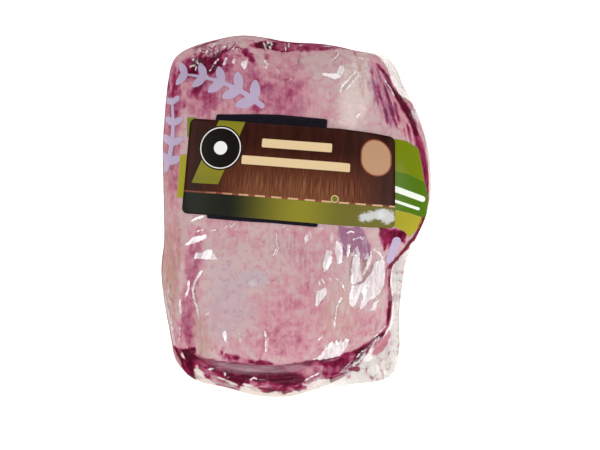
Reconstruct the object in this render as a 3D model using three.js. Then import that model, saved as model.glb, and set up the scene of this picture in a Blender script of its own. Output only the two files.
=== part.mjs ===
// A raw leg of lamb in a shrunk vacuum bag, lying on its flat side with the labelled side up.
// Millimetres, +Z up. The origin is the middle of the footprint, on the surface that the pack rests on.
// +Y is towards the shank end, -Y towards the cut end, and +X towards the knuckle.
import * as THREE from "three";
import { mergeVertices } from "three/addons/utils/BufferGeometryUtils.js";

// ---- Driving sizes ----
const CROWN_HEIGHT = 70; // highest point of the meat above the table
const FOOT_SHARE = 0.8; // how far out, of the way to the girth, the flat underside reaches
const LABEL_THICKNESS = 0.4;
const LABEL_GAP = 0.45; // between the bag and the first label, and between the two labels
const LABEL_TURN = THREE.MathUtils.degToRad(-5.3); // both labels were stuck on a little crooked

// The girth is the widest line round the meat, seen from above, anticlockwise from +X.
const GIRTH_POINTS = [
  [91, 1], [94.5, 17], [94.5, 33], [91, 52], [83, 70], [73, 86], [66, 101], [57, 113],
  [39, 119], [17, 123], [-5, 124], [-24, 127.5], [-40, 129], [-58, 125.5], [-76, 120],
  [-87, 112], [-91, 94], [-93, 73], [-94.5, 48], [-94, 23], [-93.5, -1], [-93.5, -18],
  [-95.5, -36], [-94, -55], [-90.5, -76], [-86, -96], [-76, -111], [-65, -113], [-49, -117],
  [-29, -121.5], [-8, -122.5], [10, -119], [28, -113], [40, -107], [54, -96], [64.5, -84],
  [68, -71], [68.5, -58], [67, -45], [69, -34], [75, -24], [82, -14],
];

// The film is shrunk tight on the girth from the shank end round the flank, and sticks out past it elsewhere.
const FREE_FILM_AT_KNUCKLE = [
  [92, 1], [95.2, 17], [95.4, 33], [92.7, 55], [86, 75], [76, 94], [66, 113],
];
const TIGHT_GIRTH = GIRTH_POINTS.slice(8, 25);
const FREE_FILM_AT_CUT_END = [
  [-86.5, -98], [-80, -110], [-71, -117], [-49, -122], [-27, -128], [-5, -128.5], [17, -123.5],
  [39, -119], [61, -116.5], [70, -110], [73.5, -95], [73.5, -67], [75.5, -48], [78, -31], [84, -17],
];

// Past the girth the film is a steep band where it is shrunk tight, and a thin sheet where it sticks out free.
const FLAP = {
  thickness: 1.6, // of a free sheet: the two bag films and the juice between them
  tightReach: 0.3, // how far a tight band stands off the girth
  halfFreeAt: 4, // the reach past the girth at which a band is half way to a free sheet
  fall: 0.75, // how far a free sheet sinks for each millimetre that it sticks out
  restHeight: 2.6, // mid-thickness height of an edge that lies on the table
  restDip: 0.6, // how much lower than that a pucker may press it
  bandHalf: { root: 4, edge: 1.5 }, // half height of a tight band at the girth and at its edge
  sheetRootHalf: 1.4, // half height of a free sheet at the girth
  brow: { overGirth: 0.8, overSheet: 0.4 }, // how far the crown's last ring stays above both
  pucker: { height: 1.1, waves: 29, halfWay: 0.4 }, // small waves, and their share half way out
};

// Height of the girth above the table, and how square the shoulder above it is, by direction in degrees.
const GIRTH_BY_DIRECTION = [
  { direction: 0, height: 24, squareness: 2.5 },
  { direction: 60, height: 24, squareness: 3.2 },
  { direction: 100, height: 26, squareness: 4 },
  { direction: 150, height: 27, squareness: 5 },
  { direction: 200, height: 27, squareness: 5 },
  { direction: 240, height: 20, squareness: 3.8 },
  { direction: 275, height: 16, squareness: 3.4 },
  { direction: 310, height: 17, squareness: 3.4 },
  { direction: 335, height: 20, squareness: 3 },
];

// The face where the leg was sawn off lies outside this arc, as a low lip below the main muscle.
const CUT_END = {
  centre: [-23, 54],
  radius: 158,
  stepWidth: 10,
  stepShare: 0.5, // how much of the height above the girth is gone past the step
  crease: 0.15,
  creaseAt: 7,
  creaseWidth: 4,
};

// Swellings and hollows of the muscles under the bag: where, how far they reach, and how high they stand.
const MUSCLES = [
  { at: [-12, -56], reach: [56, 46], turn: 0, rise: 3.5 }, // round of the leg
  { at: [34, 92], reach: [40, 26], turn: 20, rise: 3 }, // shoulder beside the shank
  { at: [-48, 78], reach: [30, 30], turn: 0, rise: 2.5 }, // flank
  { at: [47, -22], reach: [15, 24], turn: 15, rise: -4.5 }, // hollow beside the knuckle
  { at: [28, -58], reach: [20, 20], turn: 0, rise: 2.5 }, // ball over the joint
  { at: [-76, 103], reach: [17, 9], turn: 14, rise: -11 }, // open end of the shank muscle
  { at: [-60, 119], reach: [30, 6], turn: 12, rise: 7 }, // fat roll over it
  { at: [-86, 30], reach: [9, 34], turn: 0, rise: -3 }, // flank pressed flat by the bag
  { at: [84, 22], reach: [8, 30], turn: -4, rise: 3 }, // knuckle
];

// Creases between the muscles, as lines with a depth and a half width.
const CREASES = [
  { line: [[-63, -3], [-71, -23], [-76, -48], [-77, -73], [-71, -92]], depth: 3.5, halfWidth: 5 },
  { line: [[-37, 117], [-5, 115], [27, 118]], depth: 5, halfWidth: 4.5 },
  { line: [[63, -4], [67, -16], [71, -30]], depth: 6, halfWidth: 5 },
  { line: [[60, 107], [64, 94], [74, 78], [83, 61], [88, 45]], depth: 5, halfWidth: 4 },
];

const RELIEF_FADE = 10; // the higher, the nearer to the girth the swellings and creases reach

const FRONT_LABEL = { centre: [-4.5, 30.5], size: [148.5, 66], corner: 4, columns: 32, rows: 12 };
const DARK_LABEL = { centre: [-20.4, 34], size: [77.5, 75], corner: 1, columns: 14, rows: 12 };
const LABEL_CLEARING = { margin: 7, fade: 16 }; // the meat is smooth under the labels

// ---- Mesh density ----
const SPOKES = 144;
const CROWN_RINGS = 25;
const UNDERCUT_RINGS = 5;
const FLAT_RINGS = 1;
const RING_CROWDING = 1.6; // rings crowd towards the girth, where the side turns down
const OUTLINE_STEPS = 12; // steps between two points of an outline

const BAGGED_MEAT = { color: 0xc48f98, roughness: 0.25 };
const DARK_PRINT = { color: 0x17151f, roughness: 0.4 };
const BROWN_PRINT = { color: 0x4a2417, roughness: 0.4 };

/** Smooth step from 0 to 1 as x goes from low to high. */
function ease(x, low, high) {
  return THREE.MathUtils.smoothstep(x, low, high);
}

/** A bell of height 1 at x = 0 that has died away by three widths. */
function bell(x, width) {
  return Math.exp(-((x / width) ** 2));
}

/** The distance from the middle out to a closed outline, as a function of direction in radians. */
function reachOf(points) {
  const curve = new THREE.CatmullRomCurve3(
    points.map(([x, y]) => new THREE.Vector3(x, y, 0)),
    true,
    "centripetal",
  );
  const stops = curve
    .getPoints(points.length * OUTLINE_STEPS)
    .map((p) => ({ angle: turnOf(p.x, p.y), reach: Math.hypot(p.x, p.y) }))
    .sort((a, b) => a.angle - b.angle);
  return (angle) => between(stops, "angle", turnOf(Math.cos(angle), Math.sin(angle)), "reach");
}

/** The direction of (x, y) in radians, from 0 up to a full turn. */
function turnOf(x, y) {
  return THREE.MathUtils.euclideanModulo(Math.atan2(y, x), 2 * Math.PI);
}

/** The value at a place on a closed ring of stops, in a straight line between the two stops beside it. */
function between(stops, key, place, value) {
  const after = stops.findIndex((stop) => stop[key] > place);
  const next = stops[after < 0 ? 0 : after];
  const last = stops[after <= 0 ? stops.length - 1 : after - 1];
  const whole = 2 * Math.PI;
  const span = THREE.MathUtils.euclideanModulo(next[key] - last[key], whole) || whole;
  const share = THREE.MathUtils.euclideanModulo(place - last[key], whole) / span;
  return THREE.MathUtils.lerp(last[value], next[value], share);
}

/** A value of GIRTH_BY_DIRECTION at any direction in radians, eased between the named directions. */
function byDirection(value) {
  const whole = 2 * Math.PI;
  const stops = GIRTH_BY_DIRECTION.map((stop) => ({
    angle: THREE.MathUtils.degToRad(stop.direction),
    value: stop[value],
  }));
  return (angle) => {
    const place = THREE.MathUtils.euclideanModulo(angle, whole);
    const before = stops.findLast((stop) => stop.angle <= place);
    const next = stops[(stops.indexOf(before) + 1) % stops.length];
    const span = THREE.MathUtils.euclideanModulo(next.angle - before.angle, whole);
    return THREE.MathUtils.lerp(before.value, next.value, ease((place - before.angle) / span, 0, 1));
  };
}

const girthReach = reachOf(GIRTH_POINTS);
const filmReach = reachOf([...FREE_FILM_AT_KNUCKLE, ...TIGHT_GIRTH, ...FREE_FILM_AT_CUT_END]);
const girthHeight = byDirection("height");
const squareness = byDirection("squareness");

/** How far (x, y) is from a line of points. */
function distanceToLine(x, y, line) {
  const place = new THREE.Vector3(x, y, 0);
  const nearest = new THREE.Vector3();
  const stretches = line.slice(1).map(([endX, endY], i) => {
    const stretch = new THREE.Line3(
      new THREE.Vector3(line[i][0], line[i][1], 0),
      new THREE.Vector3(endX, endY, 0),
    );
    return stretch.closestPointToPoint(place, true, nearest).distanceTo(place);
  });
  return Math.min(...stretches);
}

/** (x, y) in a label's own frame, from its centre along its width and its height. */
function inLabelFrame(x, y, label) {
  const [centreX, centreY] = label.centre;
  return new THREE.Vector2(x - centreX, y - centreY).rotateAround(new THREE.Vector2(), -LABEL_TURN);
}

/** 0 under the labels, where the bag is stretched smooth, and 1 away from them. */
function awayFromLabels(x, y) {
  const outside = [FRONT_LABEL, DARK_LABEL].map((label) => {
    const place = inLabelFrame(x, y, label);
    const pastX = Math.max(0, Math.abs(place.x) - label.size[0] / 2);
    const pastY = Math.max(0, Math.abs(place.y) - label.size[1] / 2);
    return Math.hypot(pastX, pastY);
  });
  return ease(Math.min(...outside), LABEL_CLEARING.margin, LABEL_CLEARING.margin + LABEL_CLEARING.fade);
}

/** Height of the smooth crown of meat over (x, y), before creases and swellings. */
function crownHeight(x, y) {
  const angle = Math.atan2(y, x);
  const share = Math.min(1, Math.hypot(x, y) / girthReach(angle));
  const girth = girthHeight(angle);
  return girth + (CROWN_HEIGHT - girth) * Math.sqrt(1 - share ** squareness(angle));
}

/** Swellings and creases at (x, y), in millimetres up or down. */
function relief(x, y) {
  const swelling = MUSCLES.reduce((sum, muscle) => {
    const place = new THREE.Vector2(x - muscle.at[0], y - muscle.at[1]);
    place.rotateAround(new THREE.Vector2(), -THREE.MathUtils.degToRad(muscle.turn));
    const away = Math.hypot(place.x / muscle.reach[0], place.y / muscle.reach[1]);
    return sum + muscle.rise * bell(away, 1);
  }, 0);
  const creasing = CREASES.reduce(
    (sum, crease) => sum + crease.depth * bell(distanceToLine(x, y, crease.line), crease.halfWidth),
    0,
  );
  return swelling - creasing;
}

/** What share of the crown's height above the girth is left at (x, y), past the edge of the cut end. */
function cutEndShare(x, y) {
  const past = Math.hypot(x - CUT_END.centre[0], y - CUT_END.centre[1]) - CUT_END.radius;
  const down = ease(past, 0, CUT_END.stepWidth);
  return 1 - CUT_END.stepShare * down - CUT_END.crease * bell(past - CUT_END.creaseAt, CUT_END.creaseWidth);
}

/** Height of the bag over (x, y). */
function bagHeight(x, y) {
  const angle = Math.atan2(y, x);
  const share = Math.min(1, Math.hypot(x, y) / girthReach(angle));
  const girth = girthHeight(angle);
  const insideGirth = 1 - share ** RELIEF_FADE;
  const crown = girth + (crownHeight(x, y) - girth) * (y < 0 ? cutEndShare(x, y) : 1);
  return Math.max(girth, crown + relief(x, y) * insideGirth * awayFromLabels(x, y));
}

/** The unit normal of the smooth crown at (x, y). */
function crownNormal(x, y) {
  const step = 0.5;
  const slopeX = (crownHeight(x + step, y) - crownHeight(x - step, y)) / (2 * step);
  const slopeY = (crownHeight(x, y + step) - crownHeight(x, y - step)) / (2 * step);
  return new THREE.Vector3(-slopeX, -slopeY, 1).normalize();
}

/** The free flap of film in one direction: how far it sticks out and how its two films lie. */
function flapAt(angle) {
  const girth = girthReach(angle);
  const width = Math.max(FLAP.tightReach, filmReach(angle) - girth);
  const root = girthHeight(angle);
  const free = width / (width + FLAP.halfFreeAt);
  const pucker = FLAP.pucker.height * free * Math.sin(FLAP.pucker.waves * angle);
  const sunk = Math.max(FLAP.restHeight, root - FLAP.fall * width);
  const edge = Math.max(FLAP.restHeight - FLAP.restDip, sunk + pucker);
  const half = FLAP.thickness / 2;
  const rootHalf = THREE.MathUtils.lerp(FLAP.bandHalf.root, FLAP.sheetRootHalf, free);
  const edgeHalf = THREE.MathUtils.lerp(FLAP.bandHalf.edge, half, free);
  const middle = (root + edge) / 2 + FLAP.pucker.halfWay * pucker;
  const middleHalf = (half + edgeHalf) / 2;
  return [
    { reach: girth + width / 2, height: middle + middleHalf },
    { reach: girth + width, height: edge + edgeHalf },
    { reach: girth + width, height: edge - edgeHalf },
    { reach: girth + width / 2, height: middle - middleHalf },
    { reach: girth, height: root - rootHalf },
  ];
}

/** The points of one spoke of the bag, from the top of the crown out over the flap and in along the underside. */
function spokeOf(angle) {
  const at = (reach, height) => new THREE.Vector3(reach * Math.cos(angle), reach * Math.sin(angle), height);
  const girth = girthReach(angle);
  const root = girthHeight(angle);
  const points = [];
  for (let ring = 1; ring <= CROWN_RINGS; ring++) {
    const share = 1 - (1 - ring / CROWN_RINGS) ** RING_CROWDING;
    const place = at(girth * share, 0);
    points.push(place.setZ(bagHeight(place.x, place.y)));
  }
  const flap = flapAt(angle);
  points.at(-1).setZ(Math.max(root + FLAP.brow.overGirth, flap[0].height + FLAP.brow.overSheet));
  flap.forEach(({ reach, height }) => points.push(at(reach, height)));
  for (let ring = 1; ring <= UNDERCUT_RINGS; ring++) {
    const quarter = ((ring / UNDERCUT_RINGS) * Math.PI) / 2;
    const share = FOOT_SHARE + (1 - FOOT_SHARE) * Math.cos(quarter);
    points.push(at(girth * share, flap.at(-1).height * (1 - Math.sin(quarter))));
  }
  for (let ring = 1; ring <= FLAT_RINGS; ring++) {
    points.push(at(girth * FOOT_SHARE * (1 - ring / (FLAT_RINGS + 1)), 0));
  }
  return points;
}

/** A closed mesh from rings of points between a first and a last point. */
function closedSurface(first, rings, last) {
  const positions = [first, ...rings.flat(), last].flatMap((p) => p.toArray());
  const count = rings[0].length;
  const vertex = (ring, spoke) => 1 + ring * count + (spoke % count);
  const end = 1 + rings.length * count;
  const faces = [];
  for (let spoke = 0; spoke < count; spoke++) {
    faces.push(0, vertex(0, spoke), vertex(0, spoke + 1));
    for (let ring = 0; ring + 1 < rings.length; ring++) {
      const [a, b] = [vertex(ring, spoke), vertex(ring, spoke + 1)];
      const [c, d] = [vertex(ring + 1, spoke), vertex(ring + 1, spoke + 1)];
      faces.push(a, c, b, b, c, d);
    }
    faces.push(vertex(rings.length - 1, spoke), end, vertex(rings.length - 1, spoke + 1));
  }
  const geometry = new THREE.BufferGeometry();
  geometry.setAttribute("position", new THREE.Float32BufferAttribute(positions, 3));
  geometry.setIndex(faces);
  geometry.computeVertexNormals();
  return geometry;
}

/** The bag and the leg in it: one closed skin over the crown, the free film and the flat underside. */
function bagGeometry() {
  const spokes = Array.from({ length: SPOKES }, (_, i) => spokeOf((i / SPOKES) * 2 * Math.PI));
  const rings = spokes[0].map((_, ring) => spokes.map((spoke) => spoke[ring]));
  const top = new THREE.Vector3(0, 0, bagHeight(0, 0));
  return closedSurface(top, rings, new THREE.Vector3());
}

/** Where a grid place, -1 to 1 each way, lies on a flat label, drawn in at the round corners. */
function placeOnLabel(across, up, label) {
  const corner = new THREE.Vector2(...label.size).divideScalar(2).subScalar(label.corner);
  const place = new THREE.Vector2((across * label.size[0]) / 2, (up * label.size[1]) / 2);
  const centre = new THREE.Vector2(Math.sign(across), Math.sign(up)).multiply(corner);
  const past = place.clone().sub(centre);
  const inCorner = Math.abs(place.x) > corner.x && Math.abs(place.y) > corner.y;
  return inCorner ? centre.add(past.clampLength(0, label.corner)) : place;
}

/** A label as a thin plate bent over the crown, its inner face a given distance off the crown. */
function labelGeometry(label, offset) {
  const plate = new THREE.BoxGeometry(2, 2, 1, label.columns, label.rows, 1);
  plate.deleteAttribute("uv");
  plate.deleteAttribute("normal");
  const position = plate.getAttribute("position");
  for (let i = 0; i < position.count; i++) {
    const flat = placeOnLabel(position.getX(i), position.getY(i), label);
    flat.rotateAround(new THREE.Vector2(), LABEL_TURN).add(new THREE.Vector2(...label.centre));
    const lift = offset + (position.getZ(i) > 0 ? LABEL_THICKNESS : 0);
    const place = new THREE.Vector3(flat.x, flat.y, crownHeight(flat.x, flat.y));
    place.addScaledVector(crownNormal(flat.x, flat.y), lift);
    position.setXYZ(i, place.x, place.y, place.z);
  }
  const joined = mergeVertices(plate, 1e-4);
  joined.computeVertexNormals();
  return joined;
}

/** A named mesh in one plain finish. */
function piece(name, geometry, finish) {
  const mesh = new THREE.Mesh(geometry, new THREE.MeshStandardMaterial({ ...finish, metalness: 0 }));
  mesh.name = name;
  return mesh;
}

const pack = new THREE.Group();
pack.name = "vacuum_packed_leg_of_lamb";
pack.add(
  piece("bagged_leg", bagGeometry(), BAGGED_MEAT),
  piece("dark_label", labelGeometry(DARK_LABEL, LABEL_GAP), DARK_PRINT),
  piece("front_label", labelGeometry(FRONT_LABEL, 2 * LABEL_GAP + LABEL_THICKNESS), BROWN_PRINT),
);

export default pack;
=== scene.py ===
"""A raw leg of lamb in a shrunk, printed film bag with two labels, lying on a pale studio floor.

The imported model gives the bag's skin and the labels' places. The bag is made again here as a clear film with folds,
pleats and print over a leg of lamb with its own muscles and fat, and both labels are made again as printed film.
Lengths in the classes are millimetres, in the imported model's frame; meshes are in metres.
"""

import logging
import math
import random
from dataclasses import dataclass, field
from enum import Enum

import bmesh
import bpy
import numpy as np
from mathutils import Matrix, Vector, noise
from mathutils.bvhtree import BVHTree

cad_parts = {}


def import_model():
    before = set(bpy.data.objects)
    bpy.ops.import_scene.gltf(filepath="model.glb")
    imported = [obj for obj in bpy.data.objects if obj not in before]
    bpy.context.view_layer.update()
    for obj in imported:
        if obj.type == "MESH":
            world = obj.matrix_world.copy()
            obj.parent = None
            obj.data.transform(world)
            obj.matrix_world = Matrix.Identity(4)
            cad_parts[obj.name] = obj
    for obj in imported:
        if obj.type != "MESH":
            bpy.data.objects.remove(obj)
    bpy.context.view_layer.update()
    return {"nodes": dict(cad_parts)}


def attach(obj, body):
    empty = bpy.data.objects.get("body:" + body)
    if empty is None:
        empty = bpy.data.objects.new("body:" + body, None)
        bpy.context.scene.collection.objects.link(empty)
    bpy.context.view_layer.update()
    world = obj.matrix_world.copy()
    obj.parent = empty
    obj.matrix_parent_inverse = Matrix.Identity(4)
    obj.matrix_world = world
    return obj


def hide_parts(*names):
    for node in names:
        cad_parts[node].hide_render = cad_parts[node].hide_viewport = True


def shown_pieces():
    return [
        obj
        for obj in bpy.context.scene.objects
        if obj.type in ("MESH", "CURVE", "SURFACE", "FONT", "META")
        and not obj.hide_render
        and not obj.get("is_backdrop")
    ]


LOG = logging.getLogger("lamb_pack")
MM = 0.001
Point = tuple[float, float]
Line = tuple[float, ...]  # x and y of each point in turn, along a line or round an outline
Tree = bpy.types.NodeTree
Socket = bpy.types.NodeSocket

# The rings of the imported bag, counted out from the middle of its top.
SPOKES = 144
CROWN_RINGS = 25
FLAP_RINGS = 5
RIM_RINGS = (2, 3)  # the flap's own outermost rings, above and below
WELD_M, ON_AXIS_M = 1e-6, 1e-5  # how near two corners are one, and a corner is on the pack's middle line

# How much of the flap past the girth the meat fills, by direction in degrees from +X: none where the film is free.
MEAT_IN_FLAP = (
    (0, 0.85), (19, 0.8), (38, 0.85), (45, 0.95), (47.5, 0.6), (50, 0.15), (58, 0.15), (63, 0.75), (75, 0.95),
    (134, 1.0), (222, 1.0), (234, 0.85), (250, 0.9), (270, 0.85), (280, 0.6), (290, 0.2), (296, 0.0), (335, 0.0),
    (343, 0.4), (350, 0.8), (360, 0.85),
)

# The sawn end's upper edge is an arc, seen from above; the cut lies outside it.
CUT_CENTRE = (-23.0, 54.0)
CUT_RADIUS = 158.0

LABELLED = (-79, 0, -72, 72, 72, 62, 69, -10)  # where the labels hold the film flat
NOWHERE = 50.0  # a signed distance that is outside every shape

# The Mix node has this many sockets for numbers and vectors between its factor and its colours.
MIX_SKIPPED, MIX_RESULT = 5, 2


# ---------------------------------------------------------------- plain helpers
def linear(hex_colour: str) -> tuple[float, float, float, float]:
    """Turns an sRGB hex colour into the linear colour that a shader socket takes.

    Args:
        hex_colour: Six hex digits, such as "c9adb1".

    Returns:
        Linear red, green and blue, and an alpha of 1.
    """
    parts = [int(hex_colour[i : i + 2], 16) / 255 for i in (0, 2, 4)]
    red, green, blue = (c / 12.92 if c <= 0.04045 else ((c + 0.055) / 1.055) ** 2.4 for c in parts)
    return (red, green, blue, 1.0)


def ease(x: np.ndarray, low: float, high: float) -> np.ndarray:
    """A smooth step from 0 where x is low to 1 where it is high; high may be the smaller of the two."""
    share = np.clip((x - low) / (high - low), 0.0, 1.0)
    return share * share * (3 - 2 * share)


def corners(line: Line) -> np.ndarray:
    """The points of a line or outline, one row each."""
    return np.reshape(np.array(line, float), (-1, 2))


def along_line(x: np.ndarray, y: np.ndarray, line: Line) -> tuple[np.ndarray, np.ndarray]:
    """Measures points against a line of straight stretches.

    Args:
        x: The points' places along X.
        y: Their places along Y.
        line: The line's points.

    Returns:
        Each point's distance from the line, and how far along the line its nearest place is, from 0 to 1.
    """
    points = corners(line)
    lengths = np.hypot(*(points[1:] - points[:-1]).T)
    total = max(float(lengths.sum()), 1e-6)
    best = np.full(x.shape, 1e9)
    share = np.zeros(x.shape)
    walked = 0.0
    for start, end, length in zip(points[:-1], points[1:], lengths):
        step = (end - start) / max(length, 1e-6)
        reach = np.clip((x - start[0]) * step[0] + (y - start[1]) * step[1], 0, length)
        away = np.hypot(x - start[0] - reach * step[0], y - start[1] - reach * step[1])
        nearer = away < best
        best = np.where(nearer, away, best)
        share = np.where(nearer, (walked + reach) / total, share)
        walked += length
    return best, share


def inside_outline(x: np.ndarray, y: np.ndarray, outline: Line) -> np.ndarray:
    """The signed distance of each point to a closed outline, below 0 inside it."""
    closed = corners((*outline, *outline[:2]))
    away, _ = along_line(x, y, closed)
    inside = np.zeros(x.shape, bool)
    for (x0, y0), (x1, y1) in zip(closed[:-1], closed[1:]):
        if y0 != y1:
            crosses = (y0 > y) != (y1 > y)
            inside ^= crosses & (x < x0 + (y - y0) * (x1 - x0) / (y1 - y0))
    return np.where(inside, -away, away)


def curved(start: Point, bend: Point, end: Point, steps: int) -> Line:
    """A line that leaves start towards bend and arrives at end from it."""
    a, b, c = (np.array(p, float) for p in (start, bend, end))
    points = ((1 - t) ** 2 * a + 2 * t * (1 - t) * b + t * t * c for t in (i / steps for i in range(steps + 1)))
    return tuple(value for point in points for value in point)


def drift(points: np.ndarray, size: float, seed: float) -> np.ndarray:
    """Smooth noise from about -1 to 1 at each point.

    Args:
        points: Places in millimetres, one row each.
        size: The distance over which the noise changes.
        seed: Moves the noise, so that two calls differ.

    Returns:
        One value for each point.
    """
    shift = Vector((seed * 17.3, seed * 5.1, seed * 9.7))
    return np.array([noise.noise(Vector(p) / size + shift) for p in points])


def alike(kind: type, lines: tuple[Line, ...], *sizes: float) -> tuple:
    """One shape of a kind for each line, all of the same sizes."""
    return tuple(kind(line, *sizes) for line in lines)


def add_node(tree: Tree, kind: str, *inputs: object, output: int | str = 0, **settings: object) -> Socket:
    """Adds a shader node with its settings and links.

    Args:
        tree: The node tree.
        kind: The node's type without "ShaderNode", and after a colon its operation where it has one.
        *inputs: What goes into its sockets in their order: a value, an output that feeds it, or None for neither.
        output: The number or name of the output to hand back.
        **settings: The same by the socket's name, and the values of the node's properties.

    Returns:
        That output, which knows its node as .node.
    """
    name, _, operation = kind.partition(":")
    node = tree.nodes.new("ShaderNode" + name)
    if operation:
        node.operation = operation
    fed = dict(enumerate(inputs))
    for key, value in settings.items():
        if key in node.inputs:
            fed[key] = value
        else:
            setattr(node, key, value)
    for key, value in fed.items():
        if isinstance(value, Socket):
            tree.links.new(value, node.inputs[key])
        elif value is not None:
            node.inputs[key].default_value = value
    return node.outputs[output]


def lay_over(tree: Tree, under: Socket | str, colour: str, mask: Socket, strength: float = 1.0) -> Socket:
    """Lays a plain colour over another where a mask says.

    Args:
        tree: The node tree.
        under: The colour below, or an sRGB hex colour where that is plain.
        colour: The sRGB hex colour laid over it.
        mask: 0 where the colour below shows and 1 where it is covered.
        strength: How much of the mask is used.

    Returns:
        The mixed colour.
    """
    share = add_node(tree, "Math:MULTIPLY", mask, strength)
    below = linear(under) if isinstance(under, str) else under
    skipped = [None] * MIX_SKIPPED
    return add_node(tree, "Mix", share, *skipped, below, linear(colour), output=MIX_RESULT, data_type="RGBA")


def smooth(value: Socket, low: float, high: float) -> dict:
    """The settings of a Map Range that takes a value from 0 at low to 1 at high; high may be the smaller."""
    ends = {"From Min": low, "From Max": high}
    if low > high:
        ends = {"From Min": high, "From Max": low, "To Min": 1.0, "To Max": 0.0}
    return {"interpolation_type": "SMOOTHSTEP", "Value": value, **ends}


def fill_ramp(ramp: bpy.types.ColorRamp, stops: tuple[tuple[float, str], ...]) -> None:
    """Puts colours on a ramp.

    Args:
        ramp: A new ramp, which has two stops.
        stops: The place and the sRGB hex colour of each stop.
    """
    for _ in stops[2:]:
        ramp.elements.new(0.5)
    for element, (position, colour) in zip(ramp.elements, stops):
        element.position = position
        element.color = linear(colour)


def millimetres(tree: Tree) -> Socket:
    """The place on the piece in millimetres."""
    place = add_node(tree, "TexCoord", output="Object")
    return add_node(tree, "VectorMath:SCALE", place, Scale=1 / MM)


def parted(tree: Tree, attribute: str) -> list[Socket]:
    """The three parts of a colour that is kept in an attribute."""
    whole = add_node(tree, "Attribute", attribute_name=attribute, output="Color")
    return list(add_node(tree, "SeparateColor", whole).node.outputs)


def blank_material(name: str) -> tuple[bpy.types.Material, Tree, Socket]:
    """A new material with nothing but its output.

    Args:
        name: The material's name.

    Returns:
        The material, its node tree and the socket that takes its surface.
    """
    material = bpy.data.materials.new(name)
    material.use_nodes = True
    tree = material.node_tree
    tree.nodes.clear()
    return material, tree, tree.nodes.new("ShaderNodeOutputMaterial").inputs[0]


def in_scene(name: str, data: bpy.types.ID) -> bpy.types.Object:
    """A new object in the scene for a mesh, a lamp or a camera."""
    thing = bpy.data.objects.new(name, data)
    bpy.context.scene.collection.objects.link(thing)
    return thing


# ---------------------------------------------------------------- finishes
@dataclass(frozen=True)
class RawLamb:
    """Raw lamb under film: pale fat membrane over pink to crimson lean, wet, soft and a little translucent.

    The mesh's tissue attribute says how lean, fatty and ink-stained each place is, and how cool and grey its
    membrane; noise of the real sizes breaks the edges up.
    """

    membrane: str = "c7adb0"
    blush: str = "c68f9c"
    pink: str = "ad6480"
    lean: str = "8f1f4e"
    blood: str = "540322"
    fat: str = "ebe5df"
    silver: str = "b9acb8"
    stain: str = "8e5c82"
    rind: str = "b4907f"
    vein: str = "a8486e"
    mottle_mm: float = 4.5  # width of the fine mottling of the membrane
    lobe_mm: float = 9.0  # width of the patches where lean shows through the membrane
    fibre_mm: float = 2.2  # width of a bundle of muscle fibres; real fibres are finer than the render shows
    fibre_stretch: float = 7.0  # how much longer than wide a bundle looks
    ragged: tuple[float, ...] = (0.38, 0.3, 0.52)  # how much lobes, fibres and mottling break up the lean's edges
    relief_mm: float = 0.4  # depth of the fibres' and lobes' relief

    def material(self) -> bpy.types.Material:
        """Builds the material from the mesh's tissue attribute and noise in millimetres."""
        material, tree, surface = blank_material("raw_lamb_under_film")
        place = millimetres(tree)
        lobes = add_node(tree, "TexNoise", place, Scale=1 / self.lobe_mm, Detail=4.0, Distortion=0.8)
        lengthwise = add_node(tree, "VectorMath:MULTIPLY", place, (1.0, 1 / self.fibre_stretch, 0.5))
        fibres = add_node(tree, "TexNoise", lengthwise, Scale=1 / self.fibre_mm, Detail=3.0, Distortion=0.3)
        fine = add_node(tree, "TexNoise", place, Scale=1 / self.mottle_mm, Detail=5.0, Distortion=0.5)
        tissue = add_node(tree, "Attribute", attribute_name="tissue")
        lean, fat, stain = add_node(tree, "SeparateColor", tissue).node.outputs
        for texture, strength in zip((lobes, fibres, fine), self.ragged):
            lean = add_node(tree, "Math:ADD", lean, self._centred(tree, texture, strength))
        colour = add_node(tree, "ValToRGB", lean)
        reds = (0.1, self.membrane), (0.32, self.blush), (0.52, self.pink), (0.72, self.lean), (0.95, self.blood)
        fill_ramp(colour.node.color_ramp, reds)
        for amount, hue, texture, rough, strength in (
            (fat, self.fat, fine, 0.5, 0.9),
            (stain, self.stain, fibres, 1.1, 0.85),
            (tissue.node.outputs["Alpha"], self.silver, fine, 0.8, 0.7),
        ):
            total = add_node(tree, "Math:ADD", amount, self._centred(tree, texture, rough))
            colour = lay_over(tree, colour, hue, add_node(tree, "MapRange", **smooth(total, 0.2, 0.8)), strength)
        rind = add_node(tree, "Attribute", attribute_name="rind", output="Fac")
        streaks = add_node(tree, "MapRange", **smooth(fibres, 0.3, 0.6))
        colour = lay_over(tree, colour, self.rind, add_node(tree, "Math:MULTIPLY", rind, streaks))
        colour = lay_over(tree, colour, self.vein, self._veins(tree, lobes, fine), 0.4)
        relief = add_node(tree, "Math:MULTIPLY_ADD", fibres, 0.6, lobes)
        bump = add_node(tree, "Bump", Strength=0.35, Distance=self.relief_mm * MM, Height=relief)
        body = add_node(tree, "BsdfPrincipled", colour, Roughness=0.5, Normal=bump, **{
            "Specular IOR Level": 0.05, "Subsurface Weight": 0.12,
            "Subsurface Radius": (1.0, 0.35, 0.25), "Subsurface Scale": 0.003,
        })
        tree.links.new(body, surface)
        return material

    def _centred(self, tree: Tree, texture: Socket, strength: float) -> Socket:
        """A texture as a shift either side of 0, strength wide in all."""
        return add_node(tree, "Math:MULTIPLY_ADD", texture, strength, -strength / 2)

    def _veins(self, tree: Tree, lobes: Socket, fine: Socket) -> Socket:
        """Thin broken lines between the lobes."""
        shifted = add_node(tree, "Math:SUBTRACT", lobes, 0.5)
        line = add_node(tree, "MapRange", **smooth(add_node(tree, "Math:ABSOLUTE", shifted), 0.02, 0.004))
        return add_node(tree, "Math:MULTIPLY", line, add_node(tree, "MapRange", **smooth(fine, 0.48, 0.62)))


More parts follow.
